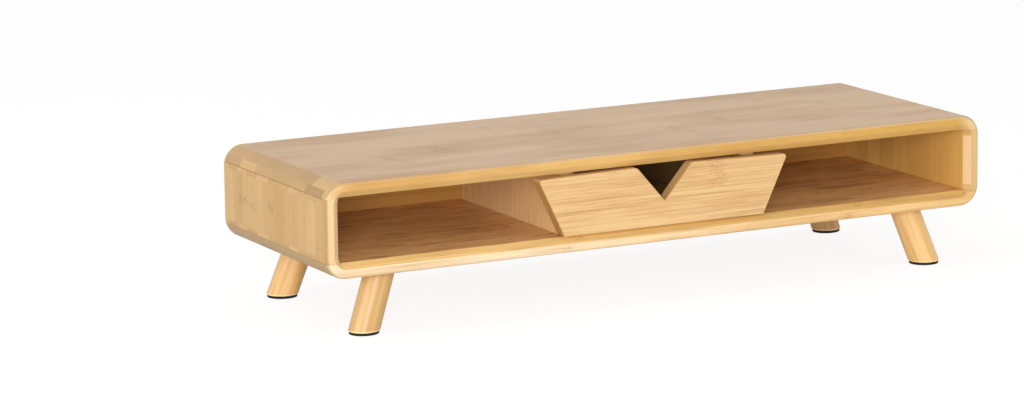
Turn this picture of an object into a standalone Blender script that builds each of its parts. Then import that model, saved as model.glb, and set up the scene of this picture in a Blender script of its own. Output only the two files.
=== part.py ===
"""Bamboo monitor stand with one drawer: a rounded case of boards on four splayed legs.

Metres, +Z up. The origin is on the floor under the middle of the stand, +X runs along its length
to the right and the open front faces -Y.
"""

import math

import bmesh
import bpy
from mathutils import Matrix, Vector

# Case
CASE_WIDTH = 0.620
CASE_DEPTH = 0.205
CASE_HEIGHT = 0.079
FLOOR_CLEARANCE = 0.051
BOARD_THICKNESS = 0.013
CORNER_RADIUS = 0.0175
EDGE_ROUND = 0.0028
RIM_CHAMFER = 0.0054
RIM_CORNER_RADIUS = 0.003

# Joints between the boards
JOINT_GAP = 0.0003
TONGUE_THICKNESS_share = 1 / 3
TONGUE_HEIGHT_share = 0.35
TONGUE_INSET_share = 1 / 8
TONGUE_STOP = 0.014
HOUSING_DEPTH = 0.003

# Back panel, held in a groove that runs round the case
BACK_PANEL_THICKNESS = 0.006
BACK_PANEL_INSET = 0.004
PANEL_GROOVE_DEPTH = 0.005

# Dividers beside the drawer
DRAWER_BAY_WIDTH = 0.160
DIVIDER_THICKNESS = 0.012
DIVIDER_SETBACK = 0.0005

# Drawer front
FRONT_THICKNESS = 0.012
FRONT_RECESS = 0.0005
FRONT_TOP_GAP = 0.0014
FRONT_TOP_FALL = 0.0017
FRONT_BOTTOM_GAP = 0.0005
FRONT_OVERLAP = 0.003
FRONT_FLARE = 0.0235
FRONT_CORNER_RADIUS = 0.0025
FRONT_EASED_EDGE = 0.0010
PULL_WIDTH = 0.052
PULL_ROOT_RISE = 0.0123
PULL_SHOULDER_RADIUS = 0.005
PULL_ROOT_RADIUS = 0.0010

# Drawer box
DRAWER_WALL = 0.010
DRAWER_HEADROOM = 0.0107
DRAWER_SIDE_CLEARANCE = 0.001
DRAWER_REAR_CLEARANCE = 0.005
DRAWER_EASED_EDGE = 0.0008
DRAWER_PANEL_THICKNESS = 0.004
DRAWER_PANEL_RISE = 0.005
DRAWER_GROOVE_DEPTH = 0.004
BACK_FINGER_COUNT = 2
DOWEL_DIAMETER = 0.006
DOWEL_IN_FRONT = 0.008
DOWEL_IN_SIDE = 0.014
DOWEL_CHAMFER = 0.0006
DOWEL_HEIGHT_shares = (0.21, 0.72)

# Legs
LEG_TOP_RADIUS = 0.0124
LEG_FOOT_RADIUS = 0.0126
LEG_EASED_EDGE = 0.0007
LEG_SPLAY_SIDE = math.radians(20.1)
LEG_SPLAY_DEPTH = math.radians(6.1)
FOOT_INSET_SIDE = 0.041
FOOT_INSET_DEPTH = 0.0215
PAD_THICKNESS = 0.0020
PAD_MARGIN = 0.0005
PAD_CHAMFER = 0.0003

# Leg fasteners
BOLT_DIAMETER = 0.006
BOLT_IN_LEG = 0.018
BOLT_CHAMFER = 0.0007
INSERT_DIAMETER = 0.010
INSERT_LENGTH = 0.0085
FLANGE_DIAMETER = 0.014
FLANGE_THICKNESS = 0.0012

# One overrun for every cut, and the fineness of the round shapes
OVERRUN = 0.001
CORNER_STEPS = 12
EDGE_STEPS = 4
FILLET_STEPS = 4
LEG_STEPS = 48
PIN_STEPS = 16
SMOOTH_ANGLE = math.radians(32)

# Heights and places that follow from the sizes above
CASE_TOP = FLOOR_CLEARANCE + CASE_HEIGHT
BAY_FLOOR = FLOOR_CLEARANCE + BOARD_THICKNESS
BAY_CEILING = CASE_TOP - BOARD_THICKNESS
HALF_WIDTH = CASE_WIDTH / 2
HALF_DEPTH = CASE_DEPTH / 2
HALF_OPENING = HALF_WIDTH - BOARD_THICKNESS
PANEL_REAR_Y = HALF_DEPTH - BACK_PANEL_INSET
PANEL_FRONT_Y = PANEL_REAR_Y - BACK_PANEL_THICKNESS
DIVIDER_INNER_X = DRAWER_BAY_WIDTH / 2
DIVIDER_OUTER_X = DIVIDER_INNER_X + DIVIDER_THICKNESS
FRONT_FACE_Y = -HALF_DEPTH + FRONT_RECESS
FRONT_BACK_Y = FRONT_FACE_Y + FRONT_THICKNESS
FRONT_BOTTOM_Z = BAY_FLOOR + FRONT_BOTTOM_GAP
FRONT_TOP_Z = BAY_CEILING - FRONT_TOP_GAP
BOX_HALF_WIDTH = DIVIDER_INNER_X - DRAWER_SIDE_CLEARANCE
BOX_INNER_X = BOX_HALF_WIDTH - DRAWER_WALL
BOX_FRONT_Y = FRONT_BACK_Y + JOINT_GAP
BOX_REAR_Y = PANEL_FRONT_Y - DRAWER_REAR_CLEARANCE
BOX_BACK_Y = BOX_REAR_Y - DRAWER_WALL
BOX_BOTTOM_Z = BAY_FLOOR + JOINT_GAP
BOX_TOP_Z = BAY_CEILING - DRAWER_HEADROOM
BOX_HEIGHT = BOX_TOP_Z - BOX_BOTTOM_Z
PANEL_BOTTOM_Z = BOX_BOTTOM_Z + DRAWER_PANEL_RISE
PANEL_TOP_Z = PANEL_BOTTOM_Z + DRAWER_PANEL_THICKNESS
PULL_ROOT_Z = PANEL_TOP_Z + PULL_ROOT_RISE
SIDE_SLOPE = math.tan(LEG_SPLAY_SIDE)
DEPTH_SLOPE = math.tan(LEG_SPLAY_DEPTH)
LEG_BOTTOM_Z = PAD_THICKNESS + JOINT_GAP
LEG_TOP_Z = FLOOR_CLEARANCE - JOINT_GAP

SIDES = (("left", -1), ("right", 1))
LEGS = (
    ("front_left", -1, -1),
    ("front_right", 1, -1),
    ("rear_left", -1, 1),
    ("rear_right", 1, 1),
)


def clear_scene():
    for obj in list(bpy.data.objects):
        bpy.data.objects.remove(obj)


def make_material(name, colour, roughness, metallic=0):
    material = bpy.data.materials.new(name)
    material.use_nodes = True
    shader = material.node_tree.nodes["Principled BSDF"]
    shader.inputs["Base Color"].default_value = (*colour, 1)
    shader.inputs["Roughness"].default_value = roughness
    shader.inputs["Metallic"].default_value = metallic
    material.diffuse_color = (*colour, 1)
    return material


def make_empty(name, place):
    empty = bpy.data.objects.new(name, None)
    empty.location = place
    bpy.context.scene.collection.objects.link(empty)
    return empty


def place_mesh(name, mesh, origin, parent, material):
    """An object for a mesh whose points are relative to origin, which is its place in the world."""
    obj = bpy.data.objects.new(name, mesh)
    obj.location = Vector(origin) - (parent.location if parent else Vector())
    obj.parent = parent
    if material and not mesh.materials:
        mesh.materials.append(material)
    bpy.context.scene.collection.objects.link(obj)
    return obj


def finish_mesh(name, shape, origin, smooth):
    """Writes a bmesh, modelled in world places, to a mesh whose points are relative to origin."""
    bmesh.ops.recalc_face_normals(shape, faces=shape.faces)
    mesh = bpy.data.meshes.new(name)
    shape.to_mesh(mesh)
    shape.free()
    mesh.transform(Matrix.Translation(-Vector(origin)))
    if smooth:
        mesh.shade_smooth()
        mesh.set_sharp_from_angle(angle=SMOOTH_ANGLE)
    return mesh


def loft(loops):
    """A closed bmesh skin through loops of equally many points, capped at both ends."""
    shape = bmesh.new()
    rings = [[shape.verts.new(point) for point in loop] for loop in loops]
    for ring, following in zip(rings, rings[1:]):
        for i in range(len(ring)):
            j = (i + 1) % len(ring)
            shape.faces.new((ring[i], ring[j], following[j], following[i]))
    shape.faces.new(rings[0])
    shape.faces.new(rings[-1])
    return shape


def block(low, high):
    """A box between two corners."""
    shape = bmesh.new()
    bmesh.ops.create_cube(shape, size=1)
    size = Vector(high) - Vector(low)
    middle = (Vector(high) + Vector(low)) / 2
    bmesh.ops.scale(shape, vec=size, verts=shape.verts)
    bmesh.ops.translate(shape, vec=middle, verts=shape.verts)
    return shape


def add_piece(name, shape, origin, parent, material, smooth=False):
    mesh = finish_mesh(name, shape, origin, smooth)
    return place_mesh(name, mesh, origin, parent, material)


def add_cutter(name, shape):
    """A hidden shape that a Boolean uses."""
    cutter = place_mesh(name, finish_mesh(name, shape, (0, 0, 0), False), (0, 0, 0), None, None)
    cutter.hide_render = True
    cutter.display_type = "WIRE"
    return cutter


def use_boolean(piece, cutter, operation):
    modifier = piece.modifiers.new(cutter.name, "BOOLEAN")
    modifier.operation = operation
    modifier.solver = "EXACT"
    modifier.object = cutter


def cut(piece, cutter):
    use_boolean(piece, cutter, "DIFFERENCE")


def unite(piece, added):
    use_boolean(piece, added, "UNION")


def keep_inside(piece, bounds):
    use_boolean(piece, bounds, "INTERSECT")


def arc(centre, radius, start, turn, steps):
    """Points on an arc about centre, from the start angle through the turn, both in radians."""
    angles = [start + turn * i / steps for i in range(steps + 1)]
    return [
        (centre[0] + radius * math.cos(a), centre[1] + radius * math.sin(a)) for a in angles
    ]


def rounded_rectangle(half_width, low, high, radius, steps):
    """(x, z) points of a rounded rectangle, counter-clockwise from its lower right corner."""
    right = half_width - radius
    quarter = math.pi / 2
    points = arc((right, low + radius), radius, -quarter, quarter, steps)
    points += arc((right, high - radius), radius, 0, quarter, steps)
    points += arc((-right, high - radius), radius, quarter, quarter, steps)
    points += arc((-right, low + radius), radius, math.pi, quarter, steps)
    return points


def fillet(before, corner, after, radius, steps):
    """Points that round the corner of an outline with an arc that touches both of its edges."""
    a = (Vector(before) - Vector(corner)).normalized()
    b = (Vector(after) - Vector(corner)).normalized()
    half_angle = a.angle(b) / 2
    centre = Vector(corner) + (a + b).normalized() * radius / math.sin(half_angle)
    start = Vector(corner) + a * radius / math.tan(half_angle) - centre
    end = Vector(corner) + b * radius / math.tan(half_angle) - centre
    turn = start.angle_signed(end)
    start_angle = math.atan2(start.y, start.x)
    return arc(centre, radius, start_angle, -turn, steps)


# The case: one rounded form, from which each board is taken, so that the rim runs on over the joints


def case_form():
    """The outer form of the case as if solid, with its long corners and its front and rear rims rounded."""
    quarter = math.pi / 2
    angles = [quarter * (1 - i / EDGE_STEPS) for i in range(EDGE_STEPS + 1)]
    front = [
        (-HALF_DEPTH + EDGE_ROUND * (1 - math.sin(a)), EDGE_ROUND * (1 - math.cos(a)))
        for a in angles
    ]
    rear = [(-y, inset) for y, inset in reversed(front)]
    loops = []
    for y, inset in front + rear:
        outline = rounded_rectangle(
            HALF_WIDTH - inset,
            FLOOR_CLEARANCE + inset,
            CASE_TOP - inset,
            CORNER_RADIUS - inset,
            CORNER_STEPS,
        )
        loops.append([(x, y, z) for x, z in outline])
    return loft(loops)


def add_rim_cutter():
    """The routed 45 degree chamfer round the front opening, rounded at the opening's four corners."""
    loops = []
    for spread in (-OVERRUN, RIM_CHAMFER + OVERRUN):
        outline = rounded_rectangle(
            HALF_OPENING + spread,
            BAY_FLOOR - spread,
            BAY_CEILING + spread,
            RIM_CORNER_RADIUS + spread,
            FILLET_STEPS,
        )
        y = -HALF_DEPTH + RIM_CHAMFER - spread
        loops.append([(x, y, z) for x, z in outline])
    return add_cutter("rim_cutter", loft(loops))


def add_panel_groove_cutter():
    """The groove in the boards' inner faces that holds the back panel."""
    reach = PANEL_GROOVE_DEPTH + JOINT_GAP
    low = (-HALF_OPENING - reach, PANEL_FRONT_Y - JOINT_GAP, BAY_FLOOR - reach)
    high = (HALF_OPENING + reach, PANEL_REAR_Y + JOINT_GAP, BAY_CEILING + reach)
    return add_cutter("panel_groove_cutter", block(low, high))


def tongue_box(sign, upper, gap):
    """Corners of a side board's tongue at its upper or lower end, grown by gap into its groove."""
    thickness = BOARD_THICKNESS * TONGUE_THICKNESS_share
    height = BOARD_THICKNESS * TONGUE_HEIGHT_share
    inner = HALF_OPENING + BOARD_THICKNESS * TONGUE_INSET_share
    across = sorted((sign * (inner - gap), sign * (inner + thickness + gap)))
    along = HALF_DEPTH - TONGUE_STOP + gap
    if upper:
        rise = (BAY_CEILING - OVERRUN, BAY_CEILING + height + gap)
    else:
        rise = (BAY_FLOOR - height - gap, BAY_FLOOR + OVERRUN)
    return (across[0], -along, rise[0]), (across[1], along, rise[1])


def housing_box(sign, upper, gap):
    """Corners of the stopped housing in the top or bottom board that a divider stands in."""
    across = sorted((sign * (DIVIDER_INNER_X - gap), sign * (DIVIDER_OUTER_X + gap)))
    front = FRONT_BACK_Y + DIVIDER_SETBACK - gap
    rear = PANEL_FRONT_Y
    if upper:
        rise = (BAY_CEILING - OVERRUN, BAY_CEILING + HOUSING_DEPTH + gap)
    else:
        rise = (BAY_FLOOR - HOUSING_DEPTH - gap, BAY_FLOOR + OVERRUN)
    return (across[0], front, rise[0]), (across[1], rear, rise[1])


def add_long_board(name, upper, case, material, rim, groove):
    """The top or bottom board, the full length of the case, with grooves and housings in its inner face."""
    low_z = BAY_CEILING if upper else FLOOR_CLEARANCE - OVERRUN
    high_z = low_z + BOARD_THICKNESS + OVERRUN
    middle = (0, 0, BAY_CEILING if upper else BAY_FLOOR)
    board = add_piece(name, case_form(), middle, case, material, smooth=True)
    slab = block(
        (-HALF_WIDTH - OVERRUN, -HALF_DEPTH - OVERRUN, low_z),
        (HALF_WIDTH + OVERRUN, HALF_DEPTH + OVERRUN, high_z),
    )
    keep_inside(board, add_cutter(name + "_slab", slab))
    cut(board, rim)
    cut(board, groove)
    for side, sign in SIDES:
        cut(board, add_cutter(f"{name}_{side}_groove", block(*tongue_box(sign, upper, JOINT_GAP))))
        cut(board, add_cutter(f"{name}_{side}_housing", block(*housing_box(sign, upper, JOINT_GAP))))
    return board


def add_side_board(side, sign, case, material, rim, groove):
    """A side board, between the long boards, with a stopped tongue at each end."""
    name = side + "_side_board"
    middle = (sign * (HALF_WIDTH - BOARD_THICKNESS / 2), 0, (BAY_FLOOR + BAY_CEILING) / 2)
    board = add_piece(name, case_form(), middle, case, material, smooth=True)
    across = sorted((sign * HALF_OPENING, sign * (HALF_WIDTH + OVERRUN)))
    slab = block(
        (across[0], -HALF_DEPTH - OVERRUN, BAY_FLOOR + JOINT_GAP),
        (across[1], HALF_DEPTH + OVERRUN, BAY_CEILING - JOINT_GAP),
    )
    keep_inside(board, add_cutter(name + "_slab", slab))
    for end, upper in (("upper", True), ("lower", False)):
        unite(board, add_cutter(f"{name}_{end}_tongue", block(*tongue_box(sign, upper, 0))))
    cut(board, rim)
    cut(board, groove)
    return board


def add_back_panel(case, material):
    reach = PANEL_GROOVE_DEPTH
    shape = block(
        (-HALF_OPENING - reach, PANEL_FRONT_Y, BAY_FLOOR - reach),
        (HALF_OPENING + reach, PANEL_REAR_Y, BAY_CEILING + reach),
    )
    middle = (0, (PANEL_FRONT_Y + PANEL_REAR_Y) / 2, (BAY_FLOOR + BAY_CEILING) / 2)
    return add_piece("back_panel", shape, middle, case, material)


def add_divider(side, sign, case, material):
    """A divider beside the drawer, its upper and lower edges let into the long boards."""
    across = sorted((sign * DIVIDER_INNER_X, sign * DIVIDER_OUTER_X))
    front = FRONT_BACK_Y + DIVIDER_SETBACK
    rear = PANEL_FRONT_Y - JOINT_GAP
    shape = block(
        (across[0], front, BAY_FLOOR - HOUSING_DEPTH),
        (across[1], rear, BAY_CEILING + HOUSING_DEPTH),
    )
    middle = (sum(across) / 2, (front + rear) / 2, (BAY_FLOOR + BAY_CEILING) / 2)
    return add_piece(side + "_divider", shape, middle, case, material)


# The drawer


def front_outline():
    """(x, z) points of the drawer front, wider at the top.

    A V-shaped finger pull is cut in its upper edge, which falls a little from the pull to both ends.
    """
    half_bottom = DIVIDER_OUTER_X + FRONT_OVERLAP
    half_top = half_bottom + FRONT_FLARE
    half_pull = PULL_WIDTH / 2
    end_top = FRONT_TOP_Z - FRONT_TOP_FALL
    corners = (
        ((-half_bottom, FRONT_BOTTOM_Z), FRONT_EASED_EDGE),
        ((half_bottom, FRONT_BOTTOM_Z), FRONT_EASED_EDGE),
        ((half_top, end_top), FRONT_CORNER_RADIUS),
        ((half_pull, FRONT_TOP_Z), PULL_SHOULDER_RADIUS),
        ((0, PULL_ROOT_Z), PULL_ROOT_RADIUS),
        ((-half_pull, FRONT_TOP_Z), PULL_SHOULDER_RADIUS),
        ((-half_top, end_top), FRONT_CORNER_RADIUS),
    )
    points = []
    for i, (corner, radius) in enumerate(corners):
        before = corners[i - 1][0]
        after = corners[(i + 1) % len(corners)][0]
        points += fillet(before, corner, after, radius, FILLET_STEPS)
    return points


def dowel_places():
    """The name and (x, z) place of each dowel that joins the drawer front to a side."""
    for side, sign in SIDES:
        x = sign * (BOX_HALF_WIDTH - DRAWER_WALL / 2)
        for level, share in zip(("lower", "upper"), DOWEL_HEIGHT_shares):
            yield f"{side}_{level}", x, PANEL_TOP_Z + (BOX_TOP_Z - PANEL_TOP_Z) * share


def turned(profile, steps, axis_place, along_y=False):
    """A solid of revolution from (radius, height) pairs, upright or lying along Y, closed at both ends."""
    loops = []
    for radius, height in profile:
        ring = arc((0, 0), radius, 0, math.tau, steps)[:-1]
        if along_y:
            loops.append([Vector((a, height, b)) + Vector(axis_place) for a, b in ring])
        else:
            loops.append([Vector((a, b, height)) + Vector(axis_place) for a, b in ring])
    return loft(loops)


def chamfered_pin(radius, start, end, chamfer):
    """The profile of a pin with a small chamfer at each end."""
    return (
        (radius - chamfer, start),
        (radius, start + chamfer),
        (radius, end - chamfer),
        (radius - chamfer, end),
    )


def add_dowel_hole(name, x, z):
    radius = DOWEL_DIAMETER / 2 + JOINT_GAP
    ends = (FRONT_BACK_Y - DOWEL_IN_FRONT - JOINT_GAP, BOX_FRONT_Y + DOWEL_IN_SIDE + JOINT_GAP)
    profile = ((radius, ends[0]), (radius, ends[1]))
    return add_cutter(name, turned(profile, PIN_STEPS, (x, 0, z), along_y=True))


def ease(shape, chosen, width, steps):
    """Rounds the chosen edges of a bmesh."""
    bmesh.ops.bevel(shape, geom=chosen, offset=width, segments=steps, profile=0.5, affect="EDGES")


def add_drawer_front(drawer, material, holes, seat):
    outline = front_outline()
    loops = [[(x, y, z) for x, z in outline] for y in (FRONT_FACE_Y, FRONT_BACK_Y)]
    shape = loft(loops)
    rims = [edge for edge in shape.edges if edge.verts[0].co.y == edge.verts[1].co.y]
    ease(shape, rims, FRONT_EASED_EDGE, FILLET_STEPS // 2)
    middle = (0, FRONT_FACE_Y, FRONT_BOTTOM_Z)
    front = add_piece("drawer_front", shape, middle, drawer, material, smooth=True)
    for hole in holes.values():
        cut(front, hole)
    cut(front, seat)
    return front


def finger_levels():
    """Heights where the fingers of the drawer's rear corner joints meet, the sides having the outer ones."""
    count = BACK_FINGER_COUNT * 2 + 1
    return [BOX_BOTTOM_Z + BOX_HEIGHT * i / count for i in range(count + 1)]


def drawer_side_outline():
    """(y, z) points of a drawer side, notched at its rear end for the fingers of the back."""
    levels = finger_levels()
    shoulder = BOX_BACK_Y - JOINT_GAP
    points = [(BOX_FRONT_Y, BOX_TOP_Z), (BOX_FRONT_Y, BOX_BOTTOM_Z), (BOX_REAR_Y, BOX_BOTTOM_Z)]
    for low, high in zip(levels[1:-1:2], levels[2::2]):
        points += [(BOX_REAR_Y, low), (shoulder, low), (shoulder, high), (BOX_REAR_Y, high)]
    points.append((BOX_REAR_Y, BOX_TOP_Z))
    return points


def drawer_back_outline():
    """(x, z) points of the drawer back, with fingers that fill the notches in the sides."""
    levels = finger_levels()
    shoulder = BOX_INNER_X - JOINT_GAP
    tip = BOX_HALF_WIDTH
    right = [(shoulder, BOX_BOTTOM_Z)]
    for low, high in zip(levels[1:-1:2], levels[2::2]):
        bottom = low + JOINT_GAP
        top = high - JOINT_GAP
        right += [(shoulder, bottom), (tip, bottom), (tip, top), (shoulder, top)]
    right.append((shoulder, BOX_TOP_Z))
    left = [(-x, z) for x, z in reversed(right)]
    return right + left


def add_bottom_seat():
    """The groove round the inside of the drawer box that holds its bottom panel."""
    gap = JOINT_GAP
    reach = DRAWER_GROOVE_DEPTH + gap
    shape = block(
        (-BOX_INNER_X - reach, FRONT_BACK_Y - reach, PANEL_BOTTOM_Z - gap),
        (BOX_INNER_X + reach, BOX_BACK_Y + reach, PANEL_TOP_Z + gap),
    )
    return add_cutter("drawer_bottom_seat", shape)


def top_runs(shape, axis):
    """The edges of a bmesh that run along an axis at the drawer box's upper edge."""
    return [
        edge
        for edge in shape.edges
        if all(abs(v.co.z - BOX_TOP_Z) < JOINT_GAP / 2 for v in edge.verts)
        and abs(edge.verts[0].co[axis] - edge.verts[1].co[axis]) > DRAWER_WALL * 2
    ]


def add_drawer_side(side, sign, drawer, material, holes, seat):
    outline = drawer_side_outline()
    across = sorted((sign * BOX_INNER_X, sign * BOX_HALF_WIDTH))
    shape = loft([[(x, y, z) for y, z in outline] for x in across])
    ease(shape, top_runs(shape, 1), DRAWER_EASED_EDGE, FILLET_STEPS // 2)
    middle = (sum(across) / 2, BOX_FRONT_Y, BOX_BOTTOM_Z)
    board = add_piece(f"drawer_{side}_side", shape, middle, drawer, material, smooth=True)
    for key, hole in holes.items():
        if key.startswith(side):
            cut(board, hole)
    cut(board, seat)
    return board


def add_drawer_back(drawer, material, seat):
    outline = drawer_back_outline()
    shape = loft([[(x, y, z) for x, z in outline] for y in (BOX_BACK_Y, BOX_REAR_Y)])
    ease(shape, top_runs(shape, 0), DRAWER_EASED_EDGE, FILLET_STEPS // 2)
    middle = (0, BOX_REAR_Y, BOX_BOTTOM_Z)
    board = add_piece("drawer_back", shape, middle, drawer, material, smooth=True)
    cut(board, seat)
    return board


def add_drawer_bottom(drawer, material):
    reach = DRAWER_GROOVE_DEPTH
    low = (-BOX_INNER_X - reach, FRONT_BACK_Y - reach, PANEL_BOTTOM_Z)
    high = (BOX_INNER_X + reach, BOX_BACK_Y + reach, PANEL_TOP_Z)
    middle = (0, (low[1] + high[1]) / 2, low[2])
    return add_piece("drawer_bottom", block(low, high), middle, drawer, material)


def add_dowels(drawer, material):
    """Four alike dowels that share one mesh, lying along Y."""
    radius = DOWEL_DIAMETER / 2
    profile = chamfered_pin(radius, -DOWEL_IN_FRONT, DOWEL_IN_SIDE, DOWEL_CHAMFER)
    mesh = finish_mesh("dowel", turned(profile, PIN_STEPS, (0, 0, 0), along_y=True), (0, 0, 0), True)
    for key, x, z in dowel_places():
        place_mesh(f"drawer_dowel_{key}", mesh, (x, FRONT_BACK_Y, z), drawer, material)


# The legs and what fastens them


def leg_ring(side, depth, height, inset):
    """Points where a leg's round surface, drawn in by inset, meets the level plane at height.

    The leg is a slightly tapered rod whose axis leans outwards at its foot. Each of its points lies on
    the axis at a distance s from the foot, plus the radius there times a unit vector square to the axis.
    The level plane fixes s for each direction round the axis.
    """
    foot = Vector((side * (HALF_WIDTH - FOOT_INSET_SIDE), depth * (HALF_DEPTH - FOOT_INSET_DEPTH), 0))
    axis = Vector((-side * SIDE_SLOPE, -depth * DEPTH_SLOPE, 1)).normalized()
    across = axis.cross(Vector((0, 1, 0))).normalized()
    upward = axis.cross(across)
    length = FLOOR_CLEARANCE / axis.z
    taper = (LEG_TOP_RADIUS - LEG_FOOT_RADIUS) / length
    points = []
    for i in range(LEG_STEPS):
        angle = math.tau * i / LEG_STEPS
        outward = across * math.cos(angle) + upward * math.sin(angle)
        radius = LEG_FOOT_RADIUS - inset
        s = (height - radius * outward.z) / (axis.z + taper * outward.z)
        points.append(foot + axis * s + outward * (radius + taper * s))
    return points


def bolt_place(side, depth):
    """(x, y) of a leg's bolt, on the leg's axis at half the bolt's depth in the leg."""
    height = FLOOR_CLEARANCE - BOLT_IN_LEG / 2
    x = side * (HALF_WIDTH - FOOT_INSET_SIDE - SIDE_SLOPE * height)
    y = depth * (HALF_DEPTH - FOOT_INSET_DEPTH - DEPTH_SLOPE * height)
    return x, y


def add_leg(name, side, depth, case, material):
    edge = LEG_EASED_EDGE
    loops = (
        leg_ring(side, depth, LEG_BOTTOM_Z, edge),
        leg_ring(side, depth, LEG_BOTTOM_Z + edge, 0),
        leg_ring(side, depth, LEG_TOP_Z, 0),
    )
    x, y = bolt_place(side, depth)
    leg = add_piece(name + "_leg", loft(loops), (x, y, LEG_TOP_Z), case, material, smooth=True)
    radius = BOLT_DIAMETER / 2 + JOINT_GAP
    bore = (
        (radius, LEG_TOP_Z - BOLT_IN_LEG - JOINT_GAP),
        (radius, LEG_TOP_Z + OVERRUN),
    )
    cut(leg, add_cutter(name + "_leg_bore", turned(bore, PIN_STEPS, (x, y, 0))))
    return leg


def add_foot_pad(name, side, depth, case, material):
    """A thin pad under the leg's slanting foot, with the foot's own oval outline."""
    outline = leg_ring(side, depth, LEG_BOTTOM_Z, LEG_EASED_EDGE + PAD_MARGIN)
    trimmed = leg_ring(side, depth, LEG_BOTTOM_Z, LEG_EASED_EDGE + PAD_MARGIN + PAD_CHAMFER)
    levels = (
        (trimmed, 0),
        (outline, PAD_CHAMFER),
        (outline, PAD_THICKNESS - PAD_CHAMFER),
        (trimmed, PAD_THICKNESS),
    )
    loops = [[(p.x, p.y, height) for p in points] for points, height in levels]
    middle = sum((Vector(p) for p in loops[0]), Vector()) / LEG_STEPS
    return add_piece(name + "_foot_pad", loft(loops), middle, case, material, smooth=True)


def insert_profile():
    """(radius, height) pairs up the outside of a flanged threaded insert and down its bore."""
    bore = BOLT_DIAMETER / 2 + JOINT_GAP
    return (
        (bore, 0),
        (FLANGE_DIAMETER / 2, 0),
        (FLANGE_DIAMETER / 2, FLANGE_THICKNESS),
        (INSERT_DIAMETER / 2, FLANGE_THICKNESS),
        (INSERT_DIAMETER / 2, INSERT_LENGTH - BOLT_CHAMFER),
        (INSERT_DIAMETER / 2 - BOLT_CHAMFER, INSERT_LENGTH),
        (bore, INSERT_LENGTH),
    )


def insert_mesh():
    """The insert turned from its profile, a closed ring in section."""
    shape = bmesh.new()
    rings = []
    for radius, height in insert_profile():
        ring = arc((0, 0), radius, 0, math.tau, PIN_STEPS)[:-1]
        rings.append([shape.verts.new((a, b, height)) for a, b in ring])
    for k in range(len(rings)):
        ring, following = rings[k], rings[(k + 1) % len(rings)]
        for i in range(PIN_STEPS):
            j = (i + 1) % PIN_STEPS
            shape.faces.new((ring[i], ring[j], following[j], following[i]))
    return finish_mesh("threaded_insert", shape, (0, 0, 0), True)


def add_insert_hole(name, x, y):
    """The stepped hole in the bottom board for an insert: a recess for its flange, then its own bore."""
    gap = JOINT_GAP
    start = FLOOR_CLEARANCE
    flange = FLANGE_DIAMETER / 2 + gap
    body = INSERT_DIAMETER / 2 + gap
    profile = (
        (flange, start - OVERRUN),
        (flange, start + FLANGE_THICKNESS + gap * 2),
        (body, start + FLANGE_THICKNESS + gap * 2),
        (body, start + INSERT_LENGTH + gap * 2),
    )
    return add_cutter(name, turned(profile, PIN_STEPS, (x, y, 0)))


def add_leg_fasteners(case, steel, brass, bottom_board):
    profile = chamfered_pin(BOLT_DIAMETER / 2, -BOLT_IN_LEG, INSERT_LENGTH, BOLT_CHAMFER)
    bolt = finish_mesh("leg_bolt", turned(profile, PIN_STEPS, (0, 0, 0)), (0, 0, 0), True)
    insert = insert_mesh()
    for name, side, depth in LEGS:
        x, y = bolt_place(side, depth)
        place_mesh(name + "_leg_bolt", bolt, (x, y, FLOOR_CLEARANCE), case, steel)
        seat = (x, y, FLOOR_CLEARANCE + JOINT_GAP)
        place_mesh(name + "_leg_insert", insert, seat, case, brass)
        cut(bottom_board, add_insert_hole(name + "_insert_hole", x, y))


def build():
    clear_scene()
    bamboo = make_material("bamboo", (0.71, 0.46, 0.22), 0.42)
    pale_bamboo = make_material("pale_bamboo", (0.79, 0.54, 0.27), 0.42)
    leg_bamboo = make_material("leg_bamboo", (0.74, 0.48, 0.20), 0.38)
    rubber = make_material("black_rubber", (0.012, 0.011, 0.011), 0.75)
    steel = make_material("zinc_steel", (0.62, 0.63, 0.65), 0.35, metallic=1)
    brass = make_material("brass", (0.72, 0.52, 0.24), 0.35, metallic=1)

    case = make_empty("case", (0, 0, 0))
    rim = add_rim_cutter()
    groove = add_panel_groove_cutter()
    add_long_board("top_board", True, case, bamboo, rim, groove)
    bottom_board = add_long_board("bottom_board", False, case, bamboo, rim, groove)
    for side, sign in SIDES:
        add_side_board(side, sign, case, bamboo, rim, groove)
        add_divider(side, sign, case, bamboo)
    add_back_panel(case, bamboo)
    for name, side, depth in LEGS:
        add_leg(name, side, depth, case, leg_bamboo)
        add_foot_pad(name, side, depth, case, rubber)
    add_leg_fasteners(case, steel, brass, bottom_board)

    drawer = make_empty("drawer", (0, FRONT_FACE_Y, BAY_FLOOR))
    holes = {key: add_dowel_hole(f"{key}_dowel_hole", x, z) for key, x, z in dowel_places()}
    seat = add_bottom_seat()
    add_drawer_front(drawer, pale_bamboo, holes, seat)
    for side, sign in SIDES:
        add_drawer_side(side, sign, drawer, pale_bamboo, holes, seat)
    add_drawer_back(drawer, pale_bamboo, seat)
    add_drawer_bottom(drawer, bamboo)
    add_dowels(drawer, bamboo)


build()
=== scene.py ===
"""Dresses the bamboo monitor stand with its drawer: fine surfaces, laminated bamboo, floor, light and camera.

Metres, +Z up. The origin is on the floor under the middle of the stand, +X runs along its length
to the right and the open front faces -Y.
"""

import math
from dataclasses import dataclass

import bmesh
import bpy
import numpy as np
from mathutils import Matrix, Vector


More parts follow.
